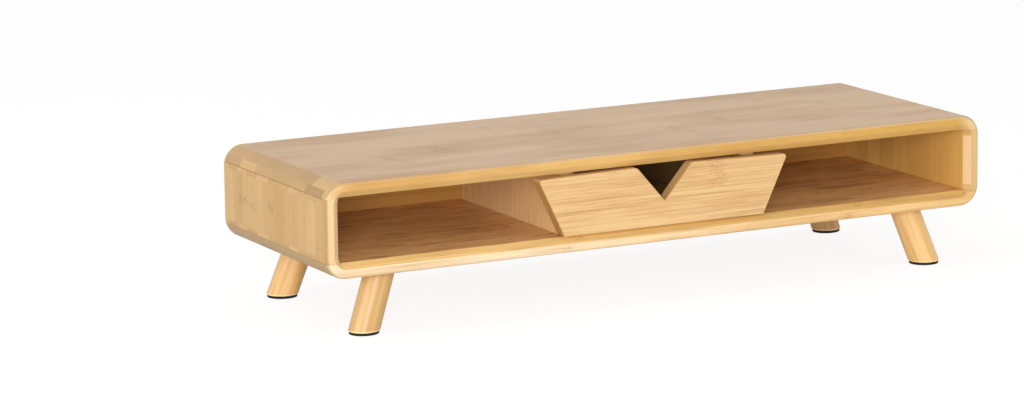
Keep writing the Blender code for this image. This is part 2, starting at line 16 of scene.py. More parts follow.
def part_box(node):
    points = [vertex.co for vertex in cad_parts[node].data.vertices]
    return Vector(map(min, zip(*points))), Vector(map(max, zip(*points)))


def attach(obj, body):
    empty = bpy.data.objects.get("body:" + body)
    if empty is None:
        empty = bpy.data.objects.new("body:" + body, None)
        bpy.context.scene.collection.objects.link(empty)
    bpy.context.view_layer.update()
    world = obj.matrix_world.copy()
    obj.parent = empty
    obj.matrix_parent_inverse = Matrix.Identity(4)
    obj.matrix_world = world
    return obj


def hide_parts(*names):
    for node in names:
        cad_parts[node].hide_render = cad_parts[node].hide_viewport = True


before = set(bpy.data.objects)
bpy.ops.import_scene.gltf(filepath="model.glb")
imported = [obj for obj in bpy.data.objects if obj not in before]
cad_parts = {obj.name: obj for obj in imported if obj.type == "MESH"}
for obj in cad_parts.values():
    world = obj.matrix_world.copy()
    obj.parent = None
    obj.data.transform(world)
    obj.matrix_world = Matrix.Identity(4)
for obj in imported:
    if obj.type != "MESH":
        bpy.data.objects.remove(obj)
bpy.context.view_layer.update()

bl_info = {
    "name": "Bamboo monitor stand",
    "version": (1, 0, 0),
    "blender": (4, 5, 0),
    "location": "3D View > Sidebar > Stand",
    "description": "Shapes and finishes a bamboo monitor stand with one drawer",
    "category": "Object",
}

MM = 0.001
WHITE = (1.0, 1.0, 1.0)
OVERRUN = MM

# Places that come from the frame
_, TOP_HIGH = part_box("top_board")
BOTTOM_LOW, BOTTOM_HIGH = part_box("bottom_board")
FRONT_LOW, FRONT_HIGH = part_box("drawer_front")
DIVIDER_LOW, DIVIDER_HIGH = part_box("right_divider")
PANEL_LOW, PANEL_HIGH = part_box("back_panel")
_, SIDE_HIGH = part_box("right_side_board")
DRAWER_BOTTOM_LOW, DRAWER_BOTTOM_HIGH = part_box("drawer_bottom")
HALF_WIDTH = SIDE_HIGH.x
HALF_DEPTH = TOP_HIGH.y
BOARD_THICKNESS = BOTTOM_HIGH.z - BOTTOM_LOW.z
BAY_FLOOR = BOTTOM_HIGH.z
BAY_CEILING = TOP_HIGH.z - BOARD_THICKNESS
BAY_MIDDLE = (BAY_FLOOR + BAY_CEILING) / 2
HALF_OPENING = HALF_WIDTH - BOARD_THICKNESS

SIDES = (("left", -1), ("right", 1))
LEGS = (
    ("front_left", -1, -1),
    ("front_right", 1, -1),
    ("rear_left", -1, 1),
    ("rear_right", 1, 1),
)
DOWELS = [f"drawer_dowel_{side}_{level}" for side, _ in SIDES for level in ("lower", "upper")]


# What a user would change


def length(name, description, default):
    return bpy.props.FloatProperty(
        name=name, description=description, default=default, min=0, precision=5, unit="LENGTH"
    )


def colour(name, description, default):
    return bpy.props.FloatVectorProperty(
        name=name, description=description, default=default, size=3, min=0, max=1, subtype="COLOR"
    )


def share(name, description, default):
    return bpy.props.FloatProperty(
        name=name, description=description, default=default, min=0, max=1, subtype="FACTOR"
    )


def angle(name, description, default):
    return bpy.props.FloatProperty(
        name=name, description=description, default=default, subtype="ANGLE", unit="ROTATION"
    )


class CaseSizes(bpy.types.PropertyGroup):
    """Sizes of the case's boards that the frame doesn't give."""

    corner_radius: length("Corner radius", "Radius of the case's long corners", 0.0175)
    edge_round: length("Edge round", "Radius of the outer front and rear edges", 0.0028)
    rim_chamfer: length("Rim chamfer", "Width of the routed chamfer round the opening", 0.0054)
    rim_corner: length("Rim corner", "Radius of the chamfer's inner corners", 0.0055)
    arris: length("Arris", "Softness of the sharper edges", 0.00035)
    seam: length("Seam", "Softness of the edges where two boards meet", 0.00012)
    seam_gap: length("Seam gap", "Space left between two boards' visible faces", 0.00008)
    joint_gap: length("Joint gap", "Space left in the joints between pieces", 0.0003)
    tongue_share: share("Tongue share", "Tongue thickness as a share of the board", 1 / 3)
    tongue_rise: share("Tongue rise", "Tongue height as a share of the board", 0.35)
    tongue_inset: share("Tongue inset", "Tongue's step from the inner face, a share of the board", 1 / 8)
    tongue_stop: length("Tongue stop", "Distance of the tongue's ends from the front and rear", 0.014)


class FrontSizes(bpy.types.PropertyGroup):
    """Sizes of the drawer front that the frame doesn't give."""

    overlap: length("Overlap", "How far the lower edge passes the dividers", 0.003)
    flare: length("Flare", "How much wider the front is at the top, on each side", 0.0235)
    top_fall: length("Top fall", "How much lower the upper edge is at its ends", 0.0017)
    corner_radius: length("Corner radius", "Radius of the upper outer corners", 0.0025)
    eased_edge: length("Eased edge", "Radius of the edges of the faces", 0.0010)
    pull_half_width: length("Pull half width", "Half the width of the finger pull", 0.026)
    pull_root: length("Pull root", "Height of the pull's root above the drawer bottom", 0.0123)
    pull_shoulder: length("Pull shoulder", "Radius of the pull's shoulders", 0.005)
    pull_root_radius: length("Pull root radius", "Radius at the root of the pull", 0.0010)
    dowel_hole: length("Dowel hole", "Radius of the holes for the dowels", 0.0033)


class LegSizes(bpy.types.PropertyGroup):
    """Sizes of the legs and their pads that the frame doesn't give."""

    top_radius: length("Top radius", "Radius of a leg at the case", 0.0124)
    foot_radius: length("Foot radius", "Radius of a leg at the floor", 0.0126)
    eased_edge: length("Eased edge", "Radius of the edge at a leg's foot", 0.0006)
    inset_side: length("Side inset", "Foot's distance from the end of the case", 0.041)
    inset_depth: length("Depth inset", "Foot's distance from the front or rear", 0.0215)
    splay_side: angle("Side splay", "Lean along the stand's length", math.radians(20.1))
    splay_depth: angle("Depth splay", "Lean along the stand's depth", math.radians(6.1))
    pad_margin: length("Pad margin", "How far a pad is drawn in from the foot", 0.0001)
    pad_round: length("Pad round", "Radius of a pad's edges", 0.0004)
    bore: length("Bore", "Radius of the hole for the leg's bolt", 0.0033)
    bore_depth: length("Bore depth", "Depth of the hole for the leg's bolt", 0.0183)


class BambooSizes(bpy.types.PropertyGroup):
    """Sizes of the strips that the bamboo boards are glued from."""

    strip_width: length("Strip width", "Width of one bamboo strip", 0.0205)
    layer_thickness: length("Layer thickness", "Thickness of one layer of strips", 0.0065)
    node_spacing: length("Node spacing", "Distance between the culm's nodes along a strip", 0.27)
    node_length: length("Node length", "Half the length of a node's mark along the grain", 0.008)
    glue_line: length("Glue line", "Width of the line between two strips", 0.00035)


class StandColours(bpy.types.PropertyGroup):
    """Colours of the stand's finishes."""

    straw: colour("Straw", "Light strips", (0.82, 0.54, 0.255))
    honey: colour("Honey", "Deeper strips", (0.66, 0.39, 0.155))
    streak: colour("Streak", "Dark fibres", (0.42, 0.22, 0.08))
    node_brown: colour("Node brown", "Marks at the culm's nodes", (0.36, 0.17, 0.07))
    end_light: colour("End grain, light", "Paler, golden end-grain blocks", (0.66, 0.43, 0.17))
    end_dark: colour("End grain, dark", "Darker end-grain blocks", (0.40, 0.235, 0.09))
    end_red: colour("End grain, reddish", "Reddish end-grain blocks", (0.55, 0.31, 0.145))
    # The drawer box's colours are darker than the case's bamboo: painted shade for the dark inside of the
    # closed drawer
    inside_light: colour("Inside, light", "Light strips of the drawer box", (0.46, 0.26, 0.10))
    inside_deep: colour("Inside, deep", "Deeper strips of the drawer box", (0.36, 0.19, 0.068))
    front_streak: colour("Front, dark fibres", "Dark fibres of the drawer front", (0.45, 0.21, 0.04))
    front_node: colour("Front, node", "The node on the drawer front", (0.52, 0.22, 0.09))
    leg_light: colour("Leg, light", "Light strips of the legs", (0.90, 0.58, 0.26))
    leg_deep: colour("Leg, deep", "Deeper strips of the legs", (0.70, 0.41, 0.13))
    foot_line: colour("Foot line", "The pale cut at the foot of a leg", (1.0, 0.74, 0.42))
    rubber: colour("Rubber", "Foot pads", (0.016, 0.014, 0.013))
    zinc: colour("Zinc", "Plated steel of the bolts", (0.62, 0.63, 0.65))
    brass: colour("Brass", "Threaded inserts", (0.72, 0.52, 0.24))
    floor: colour("Floor", "The plain floor", (0.86, 0.86, 0.86))


# Numbers and nodes of a material


class Value:
    """A number in a material's node tree. Arithmetic on it adds Math nodes."""

    def __init__(self, recipe, socket):
        self.recipe = recipe
        self.socket = socket

    def math(self, operation, *operands):
        return self.recipe.math(operation, *operands)

    def __add__(self, other):
        return self.math("ADD", self, other)

    __radd__ = __add__

    def __sub__(self, other):
        return self.math("SUBTRACT", self, other)

    def __rsub__(self, other):
        return self.math("SUBTRACT", other, self)

    def __mul__(self, other):
        return self.math("MULTIPLY", self, other)

    __rmul__ = __mul__

    def __truediv__(self, other):
        return self.math("DIVIDE", self, other)

    def __abs__(self):
        return self.math("ABSOLUTE", self)

    def floor(self):
        return self.math("FLOOR", self)

    def fraction(self):
        return self.math("FRACT", self)

    def sine(self):
        return self.math("SINE", self)

    def at_least(self, other):
        return self.math("MAXIMUM", self, other)

    def at_most(self, other):
        return self.math("MINIMUM", self, other)

    def ramp(self, start, end):
        """0 at start, 1 at end and smooth between them. It falls where end is less than start."""
        settings = {"interpolation_type": "SMOOTHSTEP", "clamp": True}
        low, high, start_value, end_value = (start, end, 0, 1) if start < end else (end, start, 1, 0)
        places = {
            "Value": self, "From Min": low, "From Max": high, "To Min": start_value, "To Max": end_value
        }
        return self.recipe.number(self.recipe.node("MapRange", settings, places), "Result")


class Recipe:
    """The node tree of a new material, or of another owner of nodes such as the world."""

    def __init__(self, name, owner=None):
        self.owner = owner or bpy.data.materials.new(name)
        self.owner.use_nodes = True
        self.tree = self.owner.node_tree
        self.tree.nodes.clear()

    def node(self, kind, settings=None, inputs=None):
        """Any node: its settings are set first, then the values or links of its sockets."""
        made = self.tree.nodes.new("ShaderNode" + kind)
        for name, value in (settings or {}).items():
            setattr(made, name, value)
        for key, value in (inputs or {}).items():
            source = value.socket if isinstance(value, Value) else value
            if isinstance(source, bpy.types.NodeSocket):
                self.tree.links.new(source, made.inputs[key])
            else:
                made.inputs[key].default_value = source
        return made

    def number(self, node, output):
        return Value(self, node.outputs[output])

    def math(self, operation, *operands):
        return self.number(self.node("Math", {"operation": operation}, dict(enumerate(operands))), 0)

    def vector(self, x, y, z):
        return self.node("CombineXYZ", None, {"X": x, "Y": y, "Z": z}).outputs[0]

    def mix(self, factor, first, second, blend="MIX"):
        """A colour between two colours."""
        settings = {"data_type": "RGBA", "blend_type": blend}
        return self.node("Mix", settings, {0: factor, 6: opaque(first), 7: opaque(second)}).outputs[2]

    def noise(self, vector, detail=2, roughness=0.55, distortion=0):
        inputs = {
            "Vector": vector, "Scale": 1, "Detail": detail, "Roughness": roughness, "Distortion": distortion
        }
        return self.number(self.node("TexNoise", None, inputs), 0)

    def white_noise(self, x, y, z):
        """A random number from 0 to 1, and a random colour, for each whole x, y and z."""
        made = self.node("TexWhiteNoise", {"noise_dimensions": "3D"}, {"Vector": self.vector(x, y, z)})
        return self.number(made, "Value"), made.outputs["Color"]

    def parts(self, source):
        """The three numbers of a vector or a colour."""
        made = self.node("SeparateXYZ", None, {"Vector": source})
        return [self.number(made, axis) for axis in "XYZ"]

    def bump(self, height, distance, strength=1):
        inputs = {"Height": height, "Distance": distance, "Strength": strength}
        return self.node("Bump", None, inputs).outputs["Normal"]

    def surface(self, settings):
        """Ends the tree with a Principled shader and gives the material."""
        shader = self.node("BsdfPrincipled", None, settings)
        self.node("OutputMaterial", None, {"Surface": shader.outputs[0]})
        return self.owner


def opaque(tint):
    """A colour socket as it is, or three numbers as an opaque colour."""
    return tint if isinstance(tint, bpy.types.NodeSocket) else (*tint, 1)


# Bamboo

# Patterns of noise drawn out along the grain: turns per metre along the grain and across it
PATCHES = (17, 85)
FIBRES = (50, 1500)
DASHES = (85, 800)
SPECKLE = (300, 1100)
WANDER = (120, 210)
DOTS = (700, 620)
BUNDLES = (60, 1500)

# How far a strip's own random number moves a pattern along the grain, in turns
CLOUD_SHIFT = 7
GRAIN_SHIFT = 9
DASH_SHIFT = 5

# Strips: how their borders wave, the step from layer to layer, that of their nodes, and blocks of end grain
STRIP_WAVES = 61
STRIP_WAVINESS = 2 * MM
LAYER_STEP_SHARE = 0.43
NODE_STEP_SHARE = 0.37
END_BLOCK_SHARE = 0.62
END_BLOCK_SEED = 5

# Placed node marks: how far they wander and how close their lines are, as shares of their length
MARK_WANDER_SHARE = 2.2
MARK_LINE_SHARE = 0.38

# Places along the stand between which the rim's tints, mostly painted light and shade, change, from left to
# right and into its corners
RIM_CHANGE = (-0.25, 0.3)
RIM_CORNER_CHANGE = (0.285, 0.306)

# Distances over which the pale line at a leg's foot and the dark line at a joint set in
FOOT_LINE_REACH = (1.6 * MM, 0.8 * MM)
JOINT_LINE_REACH = (0.9 * MM, 0.4 * MM)

# Strengths that are the same on every piece
FIBRE_SHARE = 0.5
GLUE_SHARE = 0.16
END_RED_SHARE = 0.7
END_BUNDLE_SHARE = 0.18
END_GLUE_SHARE = 0.1
END_ROUTED_SHARE = 0.6
FOOT_LINE_SHARE = 0.8
JOINT_LINE_SHARE = 0.75

# Relief of the grain, and how far a face turns while its cut end begins to show
GRAIN_RELIEF = 0.05 * MM
END_TURN = 0.2
PLAIN = (1.0, 1.0, 1.0)


@dataclass
class Rim:
    """Tints that multiply the colour of a case board's front and rear edges.

    The flat is the edge itself, the routed face is the chamfer beside it and the edge is the round-over
    behind it. The tints are mostly painted light and painted shade, with some of the boards' own tone: a face
    turned to the light is made lighter, a chamfer under an overhang darker, and the edge tint darkens the
    round-over as painted shade in place of its highlight. A long board has a left and a right tint for the
    first two, and a side board one. The corner tints take over at the ends by the corner share, and on a side
    board outside the reach that between gives about a height. The round share is how much of the round-over
    keeps the flat's tint. Opening is the sign of the direction from the board to the opening.
    """

    opening: int
    flat: tuple
    routed: tuple
    corner: tuple = PLAIN
    routed_corner: tuple = PLAIN
    corner_share: float = 0.0
    edge: tuple = PLAIN
    round_share: float = 0.0
    between: tuple = None


@dataclass
class Look:
    """How strongly each feature of the bamboo shows on one piece, from 0 to 1, and the tints of its faces.

    Marks are places of nodes, foot is the height of a leg's lower cut, and joints is the middle and half the
    length of a board whose ends meet others. The tints of the rim, of the flat faces and of the upward cut
    ends are painted light and painted shade, those of the rim partly also the boards' own tone.
    """

    strips: float = 0.45
    streaks: float = 0.5
    clouds: float = 0.35
    dashes: float = 0.3
    nodes: float = 0.35
    patches: float = 0.0
    roughness: float = 0.44
    cloud_turns: tuple = (4.5, 55)
    wide_clouds: bool = False
    grain_turns: tuple = (17, 480)
    marks: tuple = ()
    dotted: bool = False
    upward_end_painted_light: tuple = None
    foot: float = None
    rim: Rim = None
    painted_face_light: tuple = None
    joints: tuple = None


class Culm:
    """Where a point of a bamboo piece lies: along the grain, across the strips and through the layers.

    The order names the object's axes for these three. A piece whose grain leans has stored them in an
    attribute. The layers' joints are staggered, and white noise on the numbers of the strip and the layer
    gives each strip its tone and the places of its nodes.
    """

    def __init__(self, recipe, order, seed, attribute, strips_from, layers_from):
        sizes = bpy.context.scene.bamboo_sizes
        self.recipe = recipe
        self.seed = seed
        self.lengthwise = order[0] == "x"
        coordinates = recipe.node("TexCoord")
        places = dict(zip("xyz", recipe.parts(coordinates.outputs["Object"])))
        facing = dict(zip("xyz", recipe.parts(coordinates.outputs["Normal"])))
        self.height = places["z"]
        if attribute:
            stored = recipe.node("Attribute", {"attribute_name": attribute}).outputs["Vector"]
            places = dict(zip("xyz", recipe.parts(stored)))
        self.along, self.across, self.through = (places[axis] for axis in order)
        self.end_facing, self.side_facing, self.flat_facing = (facing[axis] for axis in order)

        self.layer = ((self.through - layers_from) / sizes.layer_thickness).floor()
        wavy = self.across + (self.across * STRIP_WAVES + seed).sine() * STRIP_WAVINESS
        self.strip_place = (wavy - strips_from) / sizes.strip_width + self.layer * LAYER_STEP_SHARE
        self.strip = self.strip_place.floor()
        self.tone, hues = recipe.white_noise(self.strip, self.layer, seed)
        self.node_shift, self.other, self.strength = recipe.parts(hues)
        to_border = (0.5 - abs(self.strip_place.fraction() - 0.5)) * sizes.strip_width
        self.glue = to_border.ramp(sizes.glue_line, 0)

    def pattern(self, turns, detail=2, shift=None, roughness=0.55, distortion=0):
        """Noise with its own number of turns per metre along the grain and across it."""
        turns_along, turns_across = turns
        along = self.along * turns_along
        if shift is not None:
            along = along + shift
        place = self.recipe.vector(along, self.across * turns_across, self.through * turns_across)
        return self.recipe.noise(place, detail, roughness, distortion)


def strip_colour(recipe, at, tints, look, grain, fibres):
    """The strips' own tones, then clouds, grain, fibres, dashes and glue lines, and patches on the faces."""
    light, deep, streak = tints["light"], tints["deep"], tints["streak"]
    clouds = at.pattern(look.cloud_turns, 3, CLOUD_SHIFT if look.wide_clouds else at.other * CLOUD_SHIFT)
    dashes = at.pattern(DASHES, 2, at.other * DASH_SHIFT)
    colour = recipe.mix(at.tone * look.strips, light, deep)
    colour = recipe.mix(clouds.ramp(0.4, 0.7) * look.clouds, colour, deep)
    colour = recipe.mix(grain.ramp(0.45, 0.8) * look.streaks, colour, streak)
    colour = recipe.mix(fibres.ramp(0.45, 0.8) * look.streaks * FIBRE_SHARE, colour, streak)
    colour = recipe.mix(dashes.ramp(0.62, 0.75) * clouds.ramp(0.45, 0.65) * look.dashes, colour, streak)
    colour = recipe.mix(at.glue * GLUE_SHARE, colour, streak)
    if look.patches:
        patches = at.pattern(PATCHES, 3, roughness=0.6, distortion=1.2)
        depth = abs(at.flat_facing).ramp(0.7, 0.95) * look.patches
        colour = recipe.mix(patches.ramp(0.5, 0.66) * depth, colour, streak)
        colour = recipe.mix(patches.ramp(0.46, 0.3) * depth, colour, light)
    return colour


def node_marks(at, look):
    """How much of the nodes' brown shows: the culm's scattered nodes and the listed marks.

    A scattered node is a band of speckles at its strip's own place. A placed mark is a patch of wavy lines
    that cross the grain, or of dots.
    """
    sizes = bpy.context.scene.bamboo_sizes
    speckle = at.pattern(SPECKLE)
    wander = at.pattern(WANDER)
    turn = (at.along / sizes.node_spacing + at.node_shift + at.strip * NODE_STEP_SHARE).fraction()
    to_node = abs(turn - 0.5) * sizes.node_spacing
    band = to_node.ramp(sizes.node_length, 0) * at.strength.ramp(0.2, 0.9)
    node = band * speckle.ramp(0.4, 0.62) * look.nodes
    for along, across, length, width, depth in look.marks:
        beside = abs(at.across - across).ramp(width / 2 + MM, width / 2 - MM)
        wavy = at.along - along + (wander - 0.5) * (MARK_WANDER_SHARE * length)
        if look.dotted:
            lines = at.pattern(DOTS, 1).ramp(0.45, 0.6)
        else:
            lines = abs((wavy / (length * MARK_LINE_SHARE)).fraction() - 0.5).ramp(0.32, 0.12)
        inside = abs(wavy).ramp(length / 2, length / 3) * beside
        node = node + inside * (0.25 + lines * 0.75) * speckle.ramp(0.38, 0.55) * depth
    return node.at_most(1)


def end_grain(recipe, at, tints, look):
    """The colour of a cut end: blocks in golden, dark and reddish tones, with bundles and glue lines."""
    block = (at.strip_place * END_BLOCK_SHARE).floor()
    tone, hues = recipe.white_noise(block, at.layer, at.seed + END_BLOCK_SEED)
    _, redness, _ = recipe.parts(hues)
    bundles = at.pattern(BUNDLES, 1)
    colour = recipe.mix(tone, tints["end_light"], tints["end_dark"])
    colour = recipe.mix(redness.ramp(0.5, 0.8) * END_RED_SHARE, colour, tints["end_red"])
    lines = bundles.ramp(0.4, 0.7) * END_BUNDLE_SHARE + at.glue * END_GLUE_SHARE
    colour = recipe.mix(lines, colour, tints["end_dark"])
    # Painted light: cut ends that face upward are lightened as if lit from above
    if look.upward_end_painted_light:
        colour = recipe.mix(at.side_facing.ramp(0, 0.4), colour, look.upward_end_painted_light, "MULTIPLY")
    return colour


def paint_rim_light_and_shade(recipe, at, rim, colour):
    """Paints light and shade, over some of the boards' own tone, on the flat of a board's front and rear
    edges, the round-over behind it and the routed chamfer.
    """
    toward_opening = at.flat_facing * rim.opening
    edgewise = abs(at.side_facing)
    routed = edgewise.ramp(0.4, 0.6) * toward_opening.ramp(0.4, 0.6)
    rounded = toward_opening.ramp(-0.2, -0.45) * (1 - rim.round_share)
    flat = edgewise.ramp(0.45, 0.6) * (1 - routed) * (1 - rounded)
    edge = edgewise.ramp(0.12, 0.35) * toward_opening.ramp(-0.12, -0.4)
    flat_light_and_shade, routed_light_and_shade = rim.flat[0], rim.routed[0]
    if at.lengthwise:
        rightward = at.along.ramp(*RIM_CHANGE)
        corner = abs(at.along).ramp(*RIM_CORNER_CHANGE) * rim.corner_share
        flat_light_and_shade = recipe.mix(corner, recipe.mix(rightward, *rim.flat), rim.corner)
        routed_light_and_shade = recipe.mix(corner, recipe.mix(rightward, *rim.routed), rim.routed_corner)
    if rim.between:
        middle, reach = rim.between
        routed_light_and_shade = recipe.mix(abs(at.along - middle).ramp(reach, reach + MM), routed_light_and_shade, rim.corner)
    # Painted shade on the round-over, then painted light and shade on the flat and the chamfer
    colour = recipe.mix(edge, colour, rim.edge, "MULTIPLY")
    colour = recipe.mix(flat, colour, flat_light_and_shade, "MULTIPLY")
    return recipe.mix(routed, colour, routed_light_and_shade, "MULTIPLY")


def bamboo(name, order, tints, look=Look(), seed=0, attribute=None, strips_from=0, layers_from=0):
    """Laminated bamboo, solid through the piece.

    The strips' colour comes first, then the nodes' brown, end grain on the faces that look along the
    grain, and the tints of single faces, which are mostly painted light and painted shade. A ramp's two
    numbers are the values of the noise, or of a face's direction, between which a feature sets in.
    """
    recipe = Recipe(name)
    at = Culm(recipe, order, seed, attribute, strips_from, layers_from)
    grain = at.pattern(look.grain_turns, 3, at.tone * GRAIN_SHIFT)
    fibres = at.pattern(FIBRES)
    node = node_marks(at, look)
    colour = recipe.mix(node, strip_colour(recipe, at, tints, look, grain, fibres), tints["node"])

    end = abs(at.end_facing).ramp(tints["end_from"], tints["end_from"] + END_TURN) * tints["end_share"]
    if look.rim:
        routed = abs(at.side_facing).ramp(0.4, 0.6) * (at.flat_facing * look.rim.opening).ramp(0.2, 0.4)
        end = end * (1 - END_ROUTED_SHARE * routed)
    if not attribute:
        colour = recipe.mix(end, colour, end_grain(recipe, at, tints, look))
    if look.foot is not None:
        line = at.height.ramp(*(look.foot + reach for reach in FOOT_LINE_REACH)) * FOOT_LINE_SHARE
        colour = recipe.mix(line, colour, tuple(bpy.context.scene.stand_colours.foot_line))
    # Painted light and shade on the rim's flats, chamfers and round-overs
    if look.rim:
        colour = paint_rim_light_and_shade(recipe, at, look.rim, colour)
    # Painted light and shade on the flat faces, by each piece's own tint
    if look.painted_face_light:
        face = abs(at.flat_facing).ramp(0.6, 0.9) * (1 - end)
        colour = recipe.mix(face, colour, look.painted_face_light, "MULTIPLY")
    if look.joints:
        middle, half_length = look.joints
        joint = abs(at.along - middle).ramp(*(half_length - reach for reach in JOINT_LINE_REACH))
        outer = (at.flat_facing * -look.rim.opening).ramp(0.7, 0.95)
        colour = recipe.mix(joint * outer * JOINT_LINE_SHARE, colour, tints["node"])

    normal = recipe.bump(fibres * 0.5 + grain * 0.5 - at.glue * 0.8, GRAIN_RELIEF, 0.6)
    rough = look.roughness + (grain - 0.5) * 0.12 + node * 0.08 + at.glue * 0.1
    return recipe.surface({"Base Color": colour, "Roughness": rough, "Normal": normal})


def tint_set(light=None, deep=None, streak=None, node=None, end_share=0.85, end_from=0.25, end_shade=PLAIN):
    """The colours of one board, from the stand's colours where none is given."""
    colours = bpy.context.scene.stand_colours
    tints = {
        "light": light or tuple(colours.straw),
        "deep": deep or tuple(colours.honey),
        "streak": streak or tuple(colours.streak),
        "node": node or tuple(colours.node_brown),
        "end_share": end_share,
        "end_from": end_from,
    }
    for name in ("end_light", "end_dark", "end_red"):
        tints[name] = tuple(channel * shade for channel, shade in zip(getattr(colours, name), end_shade))
    return tints


# Rubber and metal

RUBBER_GRAIN = 1600
RUBBER_RELIEF = 0.08 * MM
RUBBER_SHEEN = 0.15
TURNED_LINES = (40, 40, 9000)
DULL_PATCHES = (300, 300, 300)
TURNED_RELIEF = 0.02 * MM


def rubber(name):
    """Black rubber, matt, with a fine grain."""
    recipe = Recipe(name)
    place = recipe.node("TexCoord").outputs["Object"]
    scaled = recipe.node("VectorMath", {"operation": "SCALE"}, {0: place, "Scale": RUBBER_GRAIN}).outputs[0]
    grain = recipe.noise(scaled, 3)
    base = tuple(bpy.context.scene.stand_colours.rubber)
    colour = recipe.mix(grain.ramp(0.4, 0.7) * 0.5, base, tuple(channel * 2.2 for channel in base))
    normal = recipe.bump(grain, RUBBER_RELIEF, 0.7)
    rough = 0.62 + grain * 0.2
    return recipe.surface(
        {"Base Color": colour, "Roughness": rough, "Normal": normal, "Specular IOR Level": RUBBER_SHEEN}
    )


def turned_metal(name, tint, roughness):
    """Metal with fine turned lines across the axis and slightly dull patches."""
    recipe = Recipe(name)
    place = recipe.parts(recipe.node("TexCoord").outputs["Object"])
    lines = recipe.noise(recipe.vector(*(axis * turns for axis, turns in zip(place, TURNED_LINES))), 1)
    patches = recipe.noise(recipe.vector(*(axis * turns for axis, turns in zip(place, DULL_PATCHES))), 3)
    colour = recipe.mix(patches.ramp(0.45, 0.75) * 0.35, tint, tuple(channel * 0.6 for channel in tint))
    normal = recipe.bump(lines, TURNED_RELIEF, 0.5)
    rough = roughness + patches * 0.18
    return recipe.surface({"Base Color": colour, "Metallic": 1.0, "Roughness": rough, "Normal": normal})


# Meshes worked out with numpy

MERGE_DISTANCE = 0.004 * MM
SHORTEST_EDGE = 0.002 * MM
TINY = 1e-9
SMOOTH_ANGLE = math.radians(35)
LEG_SMOOTH_ANGLE = math.radians(50)
WELD_DISTANCE = 0.01 * MM
FLAT_ANGLE = math.radians(0.5)
SOFT_ANGLE = math.radians(50)
SOFT_WIDTH = 0.4 * MM
PANEL_SOFT_WIDTH = 0.2 * MM
FASTENER_SOFT_WIDTH = 0.1 * MM
SOFT_SEGMENTS = 2


def grid_mesh(name, points):
    """A closed tube from an array of points, one closed loop of points in each row.

    Row after row is joined by faces, and one face closes each end.
    """
    rows, columns = points.shape[:2]
    corner = np.arange(rows - 1)[:, None] * columns + np.arange(columns)[None, :]
    following = np.arange(rows - 1)[:, None] * columns + (np.arange(columns)[None, :] + 1) % columns
    quads = np.stack([corner, following, following + columns, corner + columns], axis=-1)
    faces = quads.reshape(-1, 4).tolist()
    faces.append(list(range(columns)))
    faces.append(list(range((rows - 1) * columns, rows * columns)))
    mesh = bpy.data.meshes.new(name)
    mesh.from_pydata(points.reshape(-1, 3), [], faces)
    shape = bmesh.new()
    shape.from_mesh(mesh)
    bmesh.ops.remove_doubles(shape, verts=shape.verts, dist=MERGE_DISTANCE)
    bmesh.ops.dissolve_degenerate(shape, edges=shape.edges, dist=SHORTEST_EDGE)
    bmesh.ops.recalc_face_normals(shape, faces=shape.faces)
    shape.to_mesh(mesh)
    shape.free()
    return mesh


def add_object(name, data):
    obj = bpy.data.objects.new(name, data)
    bpy.context.scene.collection.objects.link(obj)
    return obj


def boxes_mesh(corners):
    """Boxes as one mesh, each from its lowest and highest corner."""
    corners = np.array(corners, float)
    pick = np.array([[i, j, k] for i in (0, 1) for j in (0, 1) for k in (0, 1)])
    points = corners[:, pick, np.arange(3)]
    face = np.array([[0, 1, 3, 2], [4, 6, 7, 5], [0, 4, 5, 1], [2, 3, 7, 6], [0, 2, 6, 4], [1, 5, 7, 3]])
    faces = (face[None] + np.arange(len(corners))[:, None, None] * 8).reshape(-1, 4)
    mesh = bpy.data.meshes.new("boxes")
    mesh.from_pydata(points.reshape(-1, 3), [], faces.tolist())
    return mesh


def apply_boolean(piece, mesh, operation):
    """Cuts a closed mesh from a piece, or joins it on, and keeps the result as the piece's mesh."""
    tool = add_object("tool", mesh)
    modifier = piece.modifiers.new("shape", "BOOLEAN")
    modifier.operation = operation
    modifier.solver = "EXACT"
    modifier.object = tool
    graph = bpy.context.evaluated_depsgraph_get()
    result = bpy.data.meshes.new_from_object(piece.evaluated_get(graph))
    piece.modifiers.clear()
    piece.data = result
    bpy.data.objects.remove(tool)


def finish_piece(piece, material, body, nodes, smooth_angle=SMOOTH_ANGLE):
    """Shades a new piece, gives it its material and says where it belongs."""
    piece.data.materials.clear()
    piece.data.materials.append(material)
    piece.data.shade_smooth()
    piece.data.set_sharp_from_angle(angle=smooth_angle)
    weighted = piece.modifiers.new("weighted_normal", "WEIGHTED_NORMAL")
    weighted.keep_sharp = True
    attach(piece, body)
    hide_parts(*nodes)


def soften_node(name, material, width=SOFT_WIDTH):
    """Finishes a node of the frame: its edges are softened by modifiers and it gets its material."""
    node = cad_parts[name]
    weld = node.modifiers.new("weld", "WELD")
    weld.merge_threshold = WELD_DISTANCE
    flat = node.modifiers.new("flat_faces", "DECIMATE")
    flat.decimate_type = "DISSOLVE"
    flat.angle_limit = FLAT_ANGLE
    edges = node.modifiers.new("soft_edges", "BEVEL")
    edges.width = width
    edges.segments = SOFT_SEGMENTS
    edges.limit_method = "ANGLE"
    edges.angle_limit = SOFT_ANGLE
    weighted = node.modifiers.new("weighted_normal", "WEIGHTED_NORMAL")
    weighted.keep_sharp = True
    for material_slot in node.material_slots:
        material_slot.material = material


# The boards of the case

# How finely the boards are divided: steps of a softened corner, of the round front edge and along the board
CORNER_STEPS = 3
EDGE_STEPS = 9
STRAIGHT_STATIONS = 12
CORNER_STATIONS = 22
RIM_STATIONS = 10
END_STATIONS = 5
STATION_DECIMALS = 7
SOFT_SHARE = 0.4


